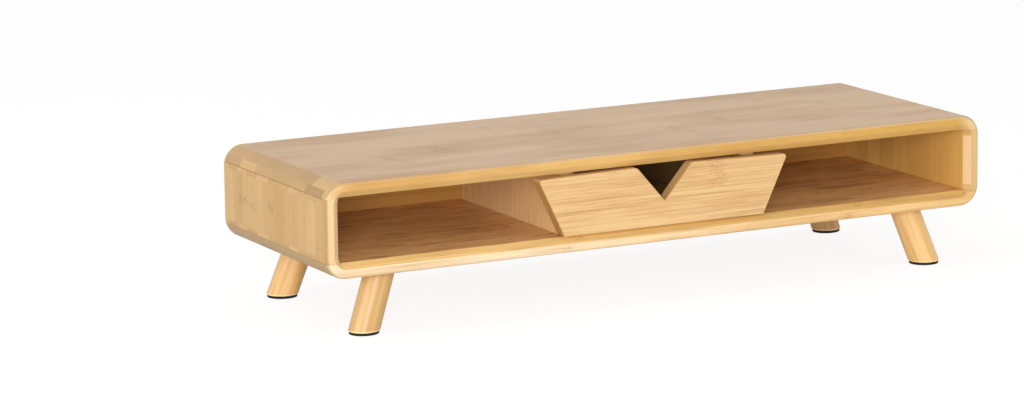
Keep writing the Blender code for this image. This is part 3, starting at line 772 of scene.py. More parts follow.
def soft_corner(before, corner, after, softness):
    """A small curve that rounds one corner of every section.

    It is the quadratic curve from a point on one edge to a point on the other, with the corner as its
    control point. Both points lie at the softness from the corner, or at the soft share of a shorter edge.
    """
    toward_before = before - corner
    toward_after = after - corner
    reach_before = np.linalg.norm(toward_before, axis=-1, keepdims=True)
    reach_after = np.linalg.norm(toward_after, axis=-1, keepdims=True)
    reach = np.minimum(softness, SOFT_SHARE * np.minimum(reach_before, reach_after))
    start = corner + toward_before * reach / np.maximum(reach_before, TINY)
    end = corner + toward_after * reach / np.maximum(reach_after, TINY)
    u = np.linspace(0, 1, CORNER_STEPS + 1)[None, :, None]
    return (1 - u) ** 2 * start[:, None] + 2 * u * (1 - u) * corner[:, None] + u**2 * end[:, None]


def board_sections(t, corner_start, rim_start, t_end):
    """The (y, n) sections of a case board at the places t along it.

    n is the distance outwards from the opening's face. The outer face is level up to corner_start and then
    follows the case's round corner: n = sqrt((R - i)^2 - (t - start)^2) - (R - T), where i is how far the
    front or rear rounding has drawn the surface in at that y. The chamfer's edges are arcs about the rim's
    corner centre in the same way. Near t_end the whole section is drawn in by a quarter round.
    """
    sizes = bpy.context.scene.case_sizes
    radius, edge = sizes.corner_radius, sizes.edge_round
    chamfer, rim = sizes.rim_chamfer, sizes.rim_corner
    t = np.abs(t)
    past_end = np.clip(t - (t_end - sizes.seam), 0, sizes.seam)
    drawn_in = sizes.seam - np.sqrt(sizes.seam**2 - past_end**2)
    past_corner = np.maximum(t - corner_start, 0)
    past_rim = np.maximum(t - rim_start, 0)
    depth_below = radius - BOARD_THICKNESS
    most_inset = radius - np.hypot(past_corner, depth_below + 2 * drawn_in)
    last_angle = np.arccos(1 - np.clip(most_inset / edge, 0, 1))
    turn = np.linspace(1, 0, EDGE_STEPS)[None, :] * last_angle[:, None]
    inset = edge * (1 - np.cos(turn))
    arc_y = HALF_DEPTH - edge * (1 - np.sin(turn))
    reach = (radius - inset) ** 2 - past_corner[:, None] ** 2
    arc_n = np.sqrt(np.maximum(reach, 0)) - depth_below
    front_y = -arc_y[:, 0]
    chamfer_start = np.minimum(np.hypot(rim, past_rim) - rim, chamfer)
    chamfer_n = np.sqrt(np.maximum((rim + chamfer) ** 2 - past_rim**2, rim**2)) - rim
    zero = np.zeros_like(t)
    inner_y = np.maximum(-HALF_DEPTH + chamfer - chamfer_start, front_y)
    rear_foot = np.stack([-front_y, zero], axis=-1)
    chamfer_inner = np.stack([inner_y, zero], axis=-1)
    chamfer_outer = np.stack([front_y, chamfer_n], axis=-1)
    front_arc = np.stack([-arc_y, arc_n], axis=-1)
    rear_arc = np.stack([arc_y, arc_n], axis=-1)[:, ::-1]
    softness = sizes.arris
    section = np.concatenate(
        [
            soft_corner(rear_arc[:, -1], rear_foot, chamfer_inner, softness),
            soft_corner(rear_foot, chamfer_inner, chamfer_outer, softness),
            soft_corner(chamfer_inner, chamfer_outer, front_arc[:, 0], softness),
            front_arc,
            rear_arc,
        ],
        axis=1,
    )
    drawn_in = drawn_in[:, None]
    y = np.clip(section[..., 0], front_y[:, None] + drawn_in, -front_y[:, None] - drawn_in)
    n = np.maximum(section[..., 1] - drawn_in, drawn_in)
    return y, n


def stations(t_end, corner_start, rim_start):
    """Places along a board, close together where its corners turn.

    They are even on the straight and at the sine of even angles round the outer corner, round the rim's
    corner and at the softened end. The other half mirrors them.
    """
    sizes = bpy.context.scene.case_sizes
    radius, softness = sizes.corner_radius, sizes.seam
    corner_turn = math.asin(min((t_end - corner_start) / radius, 1))
    corner = corner_start + radius * np.sin(np.linspace(0, corner_turn, CORNER_STATIONS))
    outer = sizes.rim_corner + sizes.rim_chamfer
    rim_turn = math.asin(min(math.sqrt(outer**2 - sizes.rim_corner**2), t_end - rim_start) / outer)
    rim = rim_start + outer * np.sin(np.linspace(0, rim_turn, RIM_STATIONS))
    end = t_end - softness * (1 - np.sin(np.linspace(0, math.pi / 2, END_STATIONS)))
    straight = np.linspace(0, corner_start, STRAIGHT_STATIONS)
    half = np.unique(np.round(np.concatenate([straight, corner, rim, end]), STATION_DECIMALS))
    half = half[half <= t_end + TINY]
    return np.concatenate([-half[:0:-1], half])


def board_points(t, corner_start, rim_start, t_end, place):
    """The board's surface: the section at each t, put in its place by a function of t, y and n."""
    y, n = board_sections(t, corner_start, rim_start, t_end)
    return place(np.broadcast_to(t[:, None], y.shape), y, n)


def tongue_box(sign, upper, gap):
    """Corners of a side board's tongue at its upper or lower end, grown by the gap into its groove."""
    sizes = bpy.context.scene.case_sizes
    inner = HALF_OPENING + BOARD_THICKNESS * sizes.tongue_inset
    across = sorted((sign * (inner - gap), sign * (inner + BOARD_THICKNESS * sizes.tongue_share + gap)))
    along = HALF_DEPTH - sizes.tongue_stop + gap
    rise = BOARD_THICKNESS * sizes.tongue_rise + gap
    if upper:
        low, high = BAY_CEILING - OVERRUN, BAY_CEILING + rise
    else:
        low, high = BAY_FLOOR - rise, BAY_FLOOR + OVERRUN
    return (across[0], -along, low), (across[1], along, high)


def panel_groove():
    """Corners of the groove that holds the back panel all round."""
    gap = bpy.context.scene.case_sizes.joint_gap
    return tuple(PANEL_LOW - Vector((gap, gap, gap))), tuple(PANEL_HIGH + Vector((gap, gap, gap)))


def housing(sign, upper):
    """Corners of the housing in a long board that a divider stands in."""
    gap = bpy.context.scene.case_sizes.joint_gap
    across = sorted((sign * (DIVIDER_LOW.x - gap), sign * (DIVIDER_HIGH.x + gap)))
    rear = PANEL_LOW.y + OVERRUN
    if upper:
        low, high = BAY_CEILING - OVERRUN, DIVIDER_HIGH.z + gap
    else:
        low, high = DIVIDER_LOW.z - gap, BAY_FLOOR + OVERRUN
    return (across[0], DIVIDER_LOW.y - gap, low), (across[1], rear, high)


def cylinder_mesh(x, y, low, high, radius, steps=32):
    """An upright closed cylinder: a ring of points at each of its two heights."""
    turn = np.linspace(0, math.tau, steps, endpoint=False)
    ring = np.stack([x + radius * np.cos(turn), y + radius * np.sin(turn)], axis=-1)
    rows = [np.column_stack([ring, np.full(steps, z)]) for z in (low, high)]
    return grid_mesh("cylinder", np.array(rows))


# Marks of nodes: place along the grain and across it, length, width and strength
LEFT_MARKS = (
    (0.0897, 0.0617, 0.009, 0.017, 0.6),
    (0.0875, 0.0400, 0.008, 0.016, 0.45),
    (0.0941, 0.0056, 0.009, 0.013, 0.6),
    (0.0750, -0.0887, 0.003, 0.018, 0.5),
)
TOP_MARKS = (
    (-0.276, 0.038, 0.008, 0.003, 0.5),
    (-0.271, 0.030, 0.007, 0.004, 0.5),
    (-0.2395, 0.0165, 0.010, 0.003, 0.4),
    (-0.258, -0.037, 0.008, 0.003, 0.35),
    (-0.253, -0.040, 0.006, 0.003, 0.4),
    (-0.1630, -0.018, 0.022, 0.018, 0.45),
)

TOP_LOOK = Look(
    strips=0.22, streaks=0.22, clouds=0.95, dashes=0.4, nodes=0.5,
    # The face tint is painted shade and painted reflection: it darkens the top and the bay's ceiling and
    # pales them toward grey
    cloud_turns=(7, 26), wide_clouds=True, marks=TOP_MARKS, painted_face_light=(0.86, 0.88, 1.06),
    # The rim's tints are painted light and shade over the board's own orange: lighter at the left and in the
    # corners, where the light falls, darker to the right, and painted shade on the round-over
    rim=Rim(
        opening=-1,
        flat=((0.95, 0.88, 0.62), (0.83, 0.71, 0.32)),
        routed=((1.09, 1.1, 0.84), (1.02, 0.93, 0.52)),
        corner=(1.12, 1.27, 1.5),
        routed_corner=(1.05, 1.12, 1.1),
        corner_share=0.9,
        edge=(0.80, 0.82, 0.93),
    ),
)
BOTTOM_LOOK = Look(
    strips=0.3, streaks=0.5, clouds=0.7, dashes=0.6, nodes=0.5, patches=0.75,
    # The face tint is painted light on the bay floors and the underside
    painted_face_light=(1.1, 1.02, 0.95),
    # The rim's tints: the flat is made pale and bright, partly the board's paler tone and partly painted
    # light, most at the left; the chamfer is darker to the right, painted shade under the top board's
    # overhang
    rim=Rim(
        opening=1,
        flat=((1.16, 1.36, 1.85), (1.1, 1.09, 0.94)),
        routed=((1.02, 1.04, 0.86), (0.88, 0.82, 0.52)),
        round_share=1.0,
    ),
)
# Painted light and shade on the left side board's rim: the flat and the chamfer are lightened to cream, where
# the light falls, and the round-over is darkened
LEFT_RIM_LIGHT_AND_SHADE = Rim(
    opening=1, flat=((1.12, 1.27, 1.5),), routed=((1.06, 1.2, 1.5),), edge=(0.70, 0.70, 0.66)
)
# Painted light and shade on the right side board's rim: the chamfer, turned to the light, is lightened and
# paled as a painted highlight, and near the top and bottom boards it is darkened as painted shade
RIGHT_RIM_LIGHT_AND_SHADE = Rim(
    opening=-1, flat=((0.92, 0.94, 0.85),), routed=((1.08, 1.16, 1.6),), corner=(0.85, 0.8, 0.55),
    round_share=1.0, between=(BAY_MIDDLE, 20.8 * MM),
)
BOTTOM_END_SHADE = (0.88, 1.0, 1.12)
# Painted shade: the left side board's faces darker and more saturated, as where less light falls
LEFT_FACE_PAINTED_SHADE = (0.87, 0.875, 0.80)
# Painted light: the right side board's faces lighter and more golden, as with light bounced round the bay
RIGHT_FACE_PAINTED_LIGHT = (1.12, 1.07, 0.67)
# Painted shade: the back panel's faces darker and browner, as in the shadow under the top board
BACK_PANEL_PAINTED_SHADE = (0.84, 0.67, 0.34)
# Painted light: the dividers' faces lighter, to lift the shade of the bays
DIVIDER_PAINTED_LIGHT = (1.26, 1.3, 1.4)


class STAND_OT_long_boards(bpy.types.Operator):
    """Shapes the top and bottom boards, with the round corners of the case and the routed rim"""

    bl_idname = "stand.long_boards"
    bl_label = "Make the long boards"

    def execute(self, context):
        sizes = context.scene.case_sizes
        corner_start = HALF_WIDTH - sizes.corner_radius
        rim_start = HALF_OPENING - sizes.rim_corner
        depth_below = sizes.corner_radius - BOARD_THICKNESS + 3 * sizes.seam
        t_end = corner_start + math.sqrt(sizes.corner_radius**2 - depth_below**2)
        t = stations(t_end, corner_start, rim_start)
        top = bamboo(
            "top_board_bamboo", "xyz", tint_set(end_from=0.12, end_share=0.95), TOP_LOOK, seed=3,
            strips_from=4 * MM, layers_from=BAY_CEILING,
        )
        bottom = bamboo(
            "bottom_board_bamboo", "xyz", tint_set(end_shade=BOTTOM_END_SHADE), BOTTOM_LOOK, seed=11,
            strips_from=9 * MM, layers_from=BOTTOM_LOW.z,
        )
        boards = (("top_board", BAY_CEILING, 1, top), ("bottom_board", BAY_FLOOR, -1, bottom))
        for name, face, up, material in boards:
            points = board_points(
                t, corner_start, rim_start, t_end, lambda t, y, n: np.stack([t, y, face + up * n], axis=-1)
            )
            piece = add_object("shaped_" + name, grid_mesh(name, points))
            pockets = [tongue_box(sign, up > 0, sizes.joint_gap) for _, sign in SIDES]
            pockets += [housing(sign, up > 0) for _, sign in SIDES]
            apply_boolean(piece, boxes_mesh(pockets), "DIFFERENCE")
            apply_boolean(piece, boxes_mesh([panel_groove()]), "DIFFERENCE")
            if up < 0:
                for leg, _, _ in LEGS:
                    low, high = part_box(leg + "_leg_insert")
                    middle = (low + high) / 2
                    radius = (high.x - low.x) / 2 + sizes.joint_gap
                    hole = cylinder_mesh(
                        middle.x, middle.y, low.z - OVERRUN, high.z + sizes.joint_gap, radius
                    )
                    apply_boolean(piece, hole, "DIFFERENCE")
            finish_piece(piece, material, "case", [name])
        return {"FINISHED"}


class STAND_OT_side_boards(bpy.types.Operator):
    """Shapes the two side boards, with the routed rim and a tongue at each end"""

    bl_idname = "stand.side_boards"
    bl_label = "Make the side boards"

    def execute(self, context):
        sizes = context.scene.case_sizes
        half_height = (TOP_HIGH.z - BOTTOM_LOW.z) / 2
        corner_start = half_height - sizes.corner_radius
        t_end = (BAY_CEILING - BAY_FLOOR) / 2 - sizes.seam_gap
        rim_start = t_end + sizes.seam_gap - sizes.rim_corner
        t = stations(t_end, corner_start, rim_start)
        common = {
            "strips": 0.75, "streaks": 0.22, "clouds": 0.45, "dashes": 0.1, "nodes": 0.0,
            "joints": (BAY_MIDDLE, t_end),
        }
        left = Look(**common, marks=LEFT_MARKS, rim=LEFT_RIM_LIGHT_AND_SHADE, painted_face_light=LEFT_FACE_PAINTED_SHADE)
        right = Look(**common, rim=RIGHT_RIM_LIGHT_AND_SHADE, painted_face_light=RIGHT_FACE_PAINTED_LIGHT)
        for (side, sign), look, seed in zip(SIDES, (left, right), (21, 27)):
            name = side + "_side_board"
            points = board_points(
                t, corner_start, rim_start, t_end,
                lambda t, y, n: np.stack([sign * (HALF_OPENING + n), y, BAY_MIDDLE + t], axis=-1),
            )
            piece = add_object("shaped_" + name, grid_mesh(name, points))
            for upper in (True, False):
                apply_boolean(piece, boxes_mesh([tongue_box(sign, upper, 0)]), "UNION")
            apply_boolean(piece, boxes_mesh([panel_groove()]), "DIFFERENCE")
            material = bamboo(
                name + "_bamboo", "zyx", tint_set(end_share=0), look, seed=seed, strips_from=14.1 * MM,
                layers_from=sign * HALF_OPENING,
            )
            finish_piece(piece, material, "case", [name])
        return {"FINISHED"}


class STAND_OT_panels(bpy.types.Operator):
    """Finishes the back panel and the two dividers"""

    bl_idname = "stand.panels"
    bl_label = "Finish the panels"

    def execute(self, context):
        back = bamboo(
            "back_panel_bamboo", "xzy", tint_set(), Look(strips=0.4, painted_face_light=BACK_PANEL_PAINTED_SHADE), seed=31,
            layers_from=PANEL_LOW.y,
        )
        soften_node("back_panel", back, PANEL_SOFT_WIDTH)
        look = Look(strips=0.35, streaks=0.45, nodes=0.15, painted_face_light=DIVIDER_PAINTED_LIGHT)
        for (side, sign), seed in zip(SIDES, (37, 41)):
            material = bamboo(
                side + "_divider_bamboo", "zyx", tint_set(), look, seed=seed,
                layers_from=sign * DIVIDER_LOW.x,
            )
            soften_node(side + "_divider", material)
        return {"FINISHED"}


# The drawer

FRONT_MARKS = ((0.049, 0.1040, 0.018, 0.024, 0.6),)
# The upward cut ends get painted light, lighter than the ends that face down
FRONT_LOOK = Look(
    strips=0.3, streaks=0.8, clouds=0.7, nodes=0.0, cloud_turns=(9, 60), grain_turns=(9, 800),
    marks=FRONT_MARKS, dotted=True, upward_end_painted_light=(1.45, 1.55, 2.2),
)
# All the front's cut ends darker and browner: partly the end grain's own colour, partly painted shade on the
# ends that face down
FRONT_END_GRAIN_AND_SHADE = (0.79, 0.70, 0.47)
FRONT_CORNER_STEPS = 13
FRONT_EDGE_STEPS = 6


def front_outline(insets):
    """(x, z) loops of the drawer front, one for each inset of its edge.

    Each corner is an arc that touches both its edges. Under an inset the centre stays, and the radius
    shrinks at an outward corner and grows at an inward one.
    """
    sizes = bpy.context.scene.front_sizes
    half_bottom = DIVIDER_HIGH.x + sizes.overlap
    half_top = half_bottom + sizes.flare
    low, high = FRONT_LOW.z, FRONT_HIGH.z
    root = DRAWER_BOTTOM_HIGH.z + sizes.pull_root
    right = np.array([(half_bottom, low), (half_top, high - sizes.top_fall), (sizes.pull_half_width, high)])
    corners = np.concatenate([right, [(0, root)], right[::-1] * (-1, 1)])
    radii = np.array([sizes.eased_edge, sizes.corner_radius, sizes.pull_shoulder])
    radii = np.concatenate([radii, [sizes.pull_root_radius], radii[::-1]])
    before = np.roll(corners, 1, axis=0) - corners
    after = np.roll(corners, -1, axis=0) - corners
    before /= np.linalg.norm(before, axis=1, keepdims=True)
    after /= np.linalg.norm(after, axis=1, keepdims=True)
    half_angle = np.arccos(np.sum(before * after, axis=1)) / 2
    bisector = before + after
    bisector /= np.linalg.norm(bisector, axis=1, keepdims=True)
    centres = corners + bisector * (radii / np.sin(half_angle))[:, None]
    inward = np.sign(before[:, 0] * after[:, 1] - before[:, 1] * after[:, 0])
    swing = (math.pi / 2 - half_angle)[:, None] * np.linspace(-1, 1, FRONT_CORNER_STEPS) * -inward[:, None]
    middle = np.arctan2(-bisector[:, 1], -bisector[:, 0])[:, None]
    turn = middle + swing
    reach = np.maximum(radii[None, :] + inward[None, :] * np.asarray(insets)[:, None], 0)
    arcs = np.stack([np.cos(turn), np.sin(turn)], axis=-1)
    loops = centres[None, :, None] + reach[:, :, None, None] * arcs[None]
    return loops.reshape(len(insets), -1, 2)


def drawer_front_points():
    """The drawer front's surface: its outline carried round the eased edges from the front to the rear."""
    edge = bpy.context.scene.front_sizes.eased_edge
    turn = np.linspace(math.pi / 2, 0, FRONT_EDGE_STEPS)
    inset = edge * (1 - np.cos(turn))
    step = edge * (1 - np.sin(turn))
    insets = np.concatenate([inset, inset[::-1]])
    y = np.concatenate([FRONT_LOW.y + step, FRONT_HIGH.y - step[::-1]])
    outline = front_outline(insets)
    depth = np.broadcast_to(y[:, None], outline.shape[:2])
    return np.stack([outline[..., 0], depth, outline[..., 1]], axis=-1)


class STAND_OT_drawer_front(bpy.types.Operator):
    """Shapes the drawer front with its V-shaped finger pull"""

    bl_idname = "stand.drawer_front"
    bl_label = "Make the drawer front"

    def execute(self, context):
        gap = context.scene.case_sizes.joint_gap
        piece = add_object("shaped_drawer_front", grid_mesh("drawer_front", drawer_front_points()))
        clearance = Vector((gap, gap, gap))
        slot = (tuple(DRAWER_BOTTOM_LOW - clearance), tuple(DRAWER_BOTTOM_HIGH + clearance))
        apply_boolean(piece, boxes_mesh([slot]), "DIFFERENCE")
        for dowel in DOWELS:
            low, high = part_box(dowel)
            middle = (low + high) / 2
            radius = context.scene.front_sizes.dowel_hole
            hole = cylinder_mesh(middle.x, -middle.z, low.y - gap, high.y, radius)
            hole.transform(Matrix.Rotation(-math.pi / 2, 4, "X"))
            apply_boolean(piece, hole, "DIFFERENCE")
        colours = context.scene.stand_colours
        tints = tint_set(
            streak=tuple(colours.front_streak), node=tuple(colours.front_node), end_shade=FRONT_END_GRAIN_AND_SHADE
        )
        material = bamboo(
            "drawer_front_bamboo", "xzy", tints, FRONT_LOOK, seed=5, strips_from=92.4 * MM,
            layers_from=FRONT_LOW.y,
        )
        finish_piece(piece, material, "drawer", ["drawer_front"])
        return {"FINISHED"}


class STAND_OT_drawer_box(bpy.types.Operator):
    """Finishes the drawer's sides, back, bottom and dowels"""

    bl_idname = "stand.drawer_box"
    bl_label = "Finish the drawer box"

    def execute(self, context):
        colours = context.scene.stand_colours
        # The darker inside colours are painted shade for the closed drawer's dark inside
        inside = tint_set(light=tuple(colours.inside_light), deep=tuple(colours.inside_deep))
        for side, sign in SIDES:
            name = f"drawer_{side}_side"
            low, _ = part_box(name)
            material = bamboo(
                name + "_bamboo", "yzx", inside, seed=47 + sign, strips_from=4 * MM, layers_from=low.x
            )
            soften_node(name, material)
        low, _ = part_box("drawer_back")
        back = bamboo("drawer_back_bamboo", "xzy", inside, seed=53, strips_from=3 * MM, layers_from=low.y)
        soften_node("drawer_back", back)
        bottom = bamboo(
            "drawer_bottom_bamboo", "xyz", inside, seed=59, layers_from=DRAWER_BOTTOM_LOW.z - MM
        )
        soften_node("drawer_bottom", bottom, PANEL_SOFT_WIDTH)
        material = bamboo("dowel_bamboo", "yxz", tint_set(end_share=0.6), Look(strips=0.1, nodes=0), seed=61)
        for dowel in DOWELS:
            soften_node(dowel, material, FASTENER_SOFT_WIDTH)
        return {"FINISHED"}


# The legs

# How much lighter or darker each leg's colours are made, one number per leg
LEG_LIGHTNESS = {"front_left": 0.87, "front_right": 1.08, "rear_left": 1.0, "rear_right": 0.72}
LEG_STEPS = 96
LEG_STATIONS = 12
LEG_EDGE_STEPS = 6
PAD_EDGE_STEPS = 5


def leg_frame(side, depth):
    """The leg's foot on its axis, and the unit vectors along the leg and square to it."""
    sizes = bpy.context.scene.leg_sizes
    foot = np.array(
        [side * (HALF_WIDTH - sizes.inset_side), depth * (HALF_DEPTH - sizes.inset_depth), 0.0]
    )
    axis = np.array([-side * math.tan(sizes.splay_side), -depth * math.tan(sizes.splay_depth), 1.0])
    axis /= np.linalg.norm(axis)
    across = np.cross(axis, (0, 1, 0))
    across /= np.linalg.norm(across)
    return foot, axis, across, np.cross(axis, across)


def leg_rings(side, depth, heights, insets):
    """Rings where the leg's surface, drawn in by each inset, meets the level plane at each height.

    A point of the surface lies on the axis at the distance s from the foot, plus the radius there times a
    unit vector square to the axis: s = (height - radius * rise of that vector) / (rise of the axis).
    """
    sizes = bpy.context.scene.leg_sizes
    foot, axis, across, upward = leg_frame(side, depth)
    turn = np.linspace(0, math.tau, LEG_STEPS, endpoint=False)
    outward = np.outer(np.cos(turn), across) + np.outer(np.sin(turn), upward)
    taper = (sizes.top_radius - sizes.foot_radius) / (BOTTOM_LOW.z / axis[2])
    radius = (sizes.foot_radius - np.asarray(insets))[:, None]
    s = (np.asarray(heights)[:, None] - radius * outward[:, 2]) / (axis[2] + taper * outward[:, 2])
    return foot + s[..., None] * axis + (radius + taper * s)[..., None] * outward


def store_grain(mesh, side, depth):
    """Stores each point's place along and across the leg in metres, shifted so that no two legs match."""
    foot, axis, across, upward = leg_frame(side, depth)
    points = np.empty(len(mesh.vertices) * 3, np.float32)
    mesh.vertices.foreach_get("co", points)
    away = points.reshape(-1, 3) - foot
    shift = np.array([side * 0.4 + depth * 0.9, side * 0.3 + depth * 0.17, depth * 0.23])
    place = np.stack([away @ axis, away @ across, away @ upward], axis=-1) + shift
    attribute = mesh.attributes.new("grain_place", "FLOAT_VECTOR", "POINT")
    attribute.data.foreach_set("vector", place.astype(np.float32).ravel())


class STAND_OT_legs(bpy.types.Operator):
    """Shapes the four splayed legs, cut level at both ends"""

    bl_idname = "stand.legs"
    bl_label = "Make the legs"

    def execute(self, context):
        sizes = context.scene.leg_sizes
        colours = context.scene.stand_colours
        edge = sizes.eased_edge
        turn = np.linspace(math.pi / 2, 0, LEG_EDGE_STEPS)
        for name, side, depth in LEGS:
            node = name + "_leg"
            low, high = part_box(node)
            light, deep = (
                tuple(channel * LEG_LIGHTNESS[name] for channel in tint)
                for tint in (colours.leg_light, colours.leg_deep)
            )
            look = Look(
                strips=0.3, streaks=0.3, clouds=0.9, nodes=0.2, cloud_turns=(6, 130), roughness=0.36,
                foot=low.z,
            )
            material = bamboo(
                node + "_bamboo", "xyz", tint_set(light, deep), look, seed=71, attribute="grain_place"
            )
            straight = np.linspace(low.z + edge, high.z, LEG_STATIONS)[1:]
            heights = np.concatenate([low.z + edge * (1 - np.sin(turn)), straight])
            insets = np.concatenate([edge * (1 - np.cos(turn)), np.zeros(len(straight))])
            mesh = grid_mesh(node, leg_rings(side, depth, heights, insets))
            piece = add_object("shaped_" + node, mesh)
            bolt_low, bolt_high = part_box(node + "_bolt")
            middle = (bolt_low + bolt_high) / 2
            bore = cylinder_mesh(
                middle.x, middle.y, high.z - sizes.bore_depth, high.z + OVERRUN, sizes.bore
            )
            apply_boolean(piece, bore, "DIFFERENCE")
            store_grain(piece.data, side, depth)
            finish_piece(piece, material, "case", [node], LEG_SMOOTH_ANGLE)
        return {"FINISHED"}


class STAND_OT_foot_pads(bpy.types.Operator):
    """Shapes the thin rubber pads under the legs"""

    bl_idname = "stand.foot_pads"
    bl_label = "Make the foot pads"

    def execute(self, context):
        sizes = context.scene.leg_sizes
        edge = sizes.pad_round
        material = rubber("black_rubber")
        turn = np.linspace(math.pi / 2, 0, PAD_EDGE_STEPS)
        for name, side, depth in LEGS:
            node = name + "_foot_pad"
            low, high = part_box(node)
            leg_low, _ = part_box(name + "_leg")
            margin = sizes.eased_edge + sizes.pad_margin
            inset = margin + edge * (1 - np.cos(turn))
            step = edge * (1 - np.sin(turn))
            levels = np.concatenate([low.z + step, (high.z - step)[::-1]])
            insets = np.concatenate([inset, inset[::-1]])
            rings = leg_rings(side, depth, np.full(len(insets), leg_low.z), insets)
            rings[..., 2] = levels[:, None]
            piece = add_object("shaped_" + node, grid_mesh(node, rings))
            finish_piece(piece, material, "case", [node])
        return {"FINISHED"}


class STAND_OT_fasteners(bpy.types.Operator):
    """Finishes the bolts in the legs and the inserts in the bottom board"""

    bl_idname = "stand.fasteners"
    bl_label = "Finish the fasteners"

    def execute(self, context):
        colours = context.scene.stand_colours
        zinc = turned_metal("zinc_steel_turned", tuple(colours.zinc), 0.3)
        brass = turned_metal("brass_turned", tuple(colours.brass), 0.28)
        for name, _, _ in LEGS:
            soften_node(name + "_leg_bolt", zinc, FASTENER_SOFT_WIDTH)
            soften_node(name + "_leg_insert", brass, FASTENER_SOFT_WIDTH)
        return {"FINISHED"}


# Floor, light and camera

CAMERA_PLACE = (-1.6422, -3.0292, 0.7430)
CAMERA_YAW = math.radians(27.12)
CAMERA_PITCH = math.radians(11.13)
CAMERA_ROLL = math.radians(-0.79)
SENSOR_WIDTH = 36
PICTURE_WIDTH_PIXELS = 1024
FOCAL_LENGTH_PIXELS = 4119
CAMERA_LENS = FOCAL_LENGTH_PIXELS * SENSOR_WIDTH / PICTURE_WIDTH_PIXELS
FLOOR_SIZE = 30.0
FLOOR_DROP = 0.3 * MM
FLOOR_GLOW = 1.08
FLOOR_GLOW_SHARE = 0.80
WORLD_LEVEL = 0.48

# Lamps: name, place, length of a side and level
LAMPS = (
    ("key_lamp", (-1.5, -2.5, 0.66), 1.0, 0.50),
    ("top_lamp", (-1.0, 0.2, 2.1), 1.6, 0.14),
    ("side_lamp", (-2.7, -0.8, 0.75), 1.2, 0.18),
    ("fill_lamp", (1.9, -2.2, 1.1), 1.6, 0.16),
)


def make_floor():
    """A plain pale floor. To the camera most of it glows, so that it is white outside the shadow."""
    half = FLOOR_SIZE / 2
    corners = [(x, y, -FLOOR_DROP) for x, y in ((-half, -half), (half, -half), (half, half), (-half, half))]
    mesh = bpy.data.meshes.new("floor")
    mesh.from_pydata(corners, [], [(0, 1, 2, 3)])
    floor = add_object("floor", mesh)
    recipe = Recipe("pale_floor")
    seen = recipe.number(recipe.node("LightPath"), "Is Camera Ray")
    colour = recipe.mix(seen, tuple(bpy.context.scene.stand_colours.floor), WHITE)
    matt = recipe.node("BsdfDiffuse", None, {"Color": colour}).outputs[0]
    glow = recipe.node("Emission", None, {"Color": opaque(WHITE), "Strength": FLOOR_GLOW}).outputs[0]
    mixed = recipe.node("MixShader", None, {0: seen * FLOOR_GLOW_SHARE, 1: matt, 2: glow})
    recipe.node("OutputMaterial", None, {"Surface": mixed.outputs[0]})
    mesh.materials.append(recipe.owner)


def make_world():
    """Even white surroundings, white to the camera and in reflections, and gentler as light."""
    world = bpy.data.worlds.new("white_surroundings")
    recipe = Recipe(world.name, world)
    rays = recipe.node("LightPath")
    camera, glossy, transmission = (
        recipe.number(rays, f"Is {kind} Ray") for kind in ("Camera", "Glossy", "Transmission")
    )
    seen = camera.at_least(glossy).at_least(transmission)
    strength = WORLD_LEVEL + seen * (1 - WORLD_LEVEL)
    background = recipe.node("Background", None, {"Color": opaque(WHITE), "Strength": strength})
    recipe.node("OutputWorld", None, {"Surface": background.outputs[0]})
    bpy.context.scene.world = world


def make_lamp(name, place, target, size, level):
    """A square soft lamp that lights the target at the given level, where 1 shows a colour as written."""
    lamp = bpy.data.lights.new(name, "AREA")
    lamp.size = size
    away = Vector(target) - Vector(place)
    lamp.energy = level * math.pi**2 * away.length_squared
    obj = add_object(name, lamp)
    obj.location = place
    obj.rotation_mode = "QUATERNION"
    obj.rotation_quaternion = away.to_track_quat("-Z", "Y")


def make_camera():
    """A camera at the photographed angle: yaw and pitch from its place, then a small roll."""
    data = bpy.data.cameras.new("camera")
    data.sensor_fit = "HORIZONTAL"
    data.lens = CAMERA_LENS
    data.clip_start = 0.1
    data.clip_end = 100
    forward = Vector(
        (
            math.sin(CAMERA_YAW) * math.cos(CAMERA_PITCH),
            math.cos(CAMERA_YAW) * math.cos(CAMERA_PITCH),
            -math.sin(CAMERA_PITCH),
        )
    )
    right = Vector((math.cos(CAMERA_YAW), -math.sin(CAMERA_YAW), 0))
    up = right.cross(forward)
    rolled_right = math.cos(CAMERA_ROLL) * right + math.sin(CAMERA_ROLL) * up
    rolled_up = -math.sin(CAMERA_ROLL) * right + math.cos(CAMERA_ROLL) * up
    turn = Matrix((rolled_right, rolled_up, -forward)).transposed()
    camera = add_object("camera", data)
    camera.matrix_world = Matrix.Translation(CAMERA_PLACE) @ turn.to_4x4()
    bpy.context.scene.camera = camera


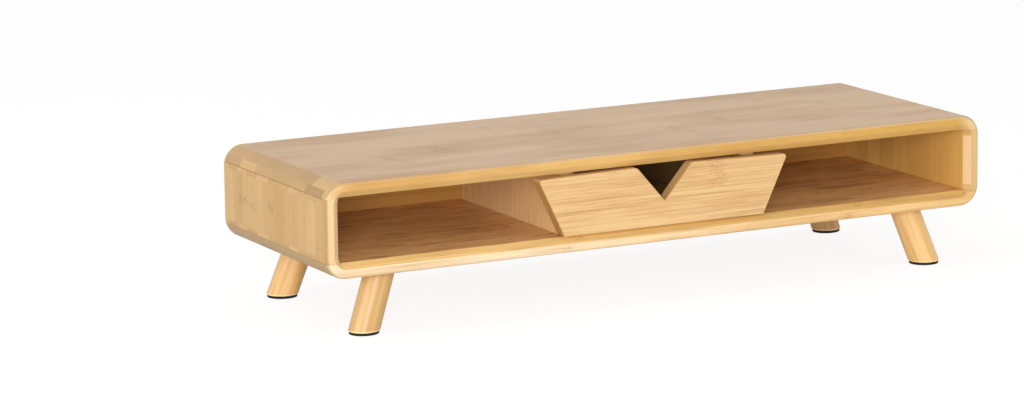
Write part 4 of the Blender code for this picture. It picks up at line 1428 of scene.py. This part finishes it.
class STAND_OT_stage(bpy.types.Operator):
    """Makes the floor, the surroundings, the lamps and the camera"""

    bl_idname = "stand.stage"
    bl_label = "Make the stage"

    def execute(self, context):
        make_floor()
        make_world()
        for name, place, size, level in LAMPS:
            make_lamp(name, place, (0, 0, BAY_MIDDLE), size, level)
        make_camera()
        context.scene.view_settings.view_transform = "Standard"
        return {"FINISHED"}


class STAND_PT_panel(bpy.types.Panel):
    """The steps that make the stand, in order"""

    bl_idname = "STAND_PT_panel"
    bl_label = "Monitor stand"
    bl_space_type = "VIEW_3D"
    bl_region_type = "UI"
    bl_category = "Stand"

    def draw(self, context):
        for step in STEPS:
            self.layout.operator(step.bl_idname)
        for group_name, group in GROUPS.items():
            box = self.layout.box()
            for name in group.__annotations__:
                box.prop(getattr(context.scene, group_name), name)


GROUPS = {
    "case_sizes": CaseSizes,
    "front_sizes": FrontSizes,
    "leg_sizes": LegSizes,
    "bamboo_sizes": BambooSizes,
    "stand_colours": StandColours,
}
STEPS = (
    STAND_OT_stage,
    STAND_OT_long_boards,
    STAND_OT_side_boards,
    STAND_OT_panels,
    STAND_OT_drawer_front,
    STAND_OT_drawer_box,
    STAND_OT_legs,
    STAND_OT_foot_pads,
    STAND_OT_fasteners,
)


def register():
    for group in GROUPS.values():
        bpy.utils.register_class(group)
    for name, group in GROUPS.items():
        setattr(bpy.types.Scene, name, bpy.props.PointerProperty(type=group))
    for step in STEPS:
        bpy.utils.register_class(step)
    bpy.utils.register_class(STAND_PT_panel)


def unregister():
    bpy.utils.unregister_class(STAND_PT_panel)
    for step in reversed(STEPS):
        bpy.utils.unregister_class(step)
    for name, group in GROUPS.items():
        delattr(bpy.types.Scene, name)
        bpy.utils.unregister_class(group)


def main():
    register()
    bpy.ops.stand.stage()
    bpy.ops.stand.long_boards()
    bpy.ops.stand.side_boards()
    bpy.ops.stand.panels()
    bpy.ops.stand.drawer_front()
    bpy.ops.stand.drawer_box()
    bpy.ops.stand.legs()
    bpy.ops.stand.foot_pads()
    bpy.ops.stand.fasteners()


if __name__ == "__main__":
    main()
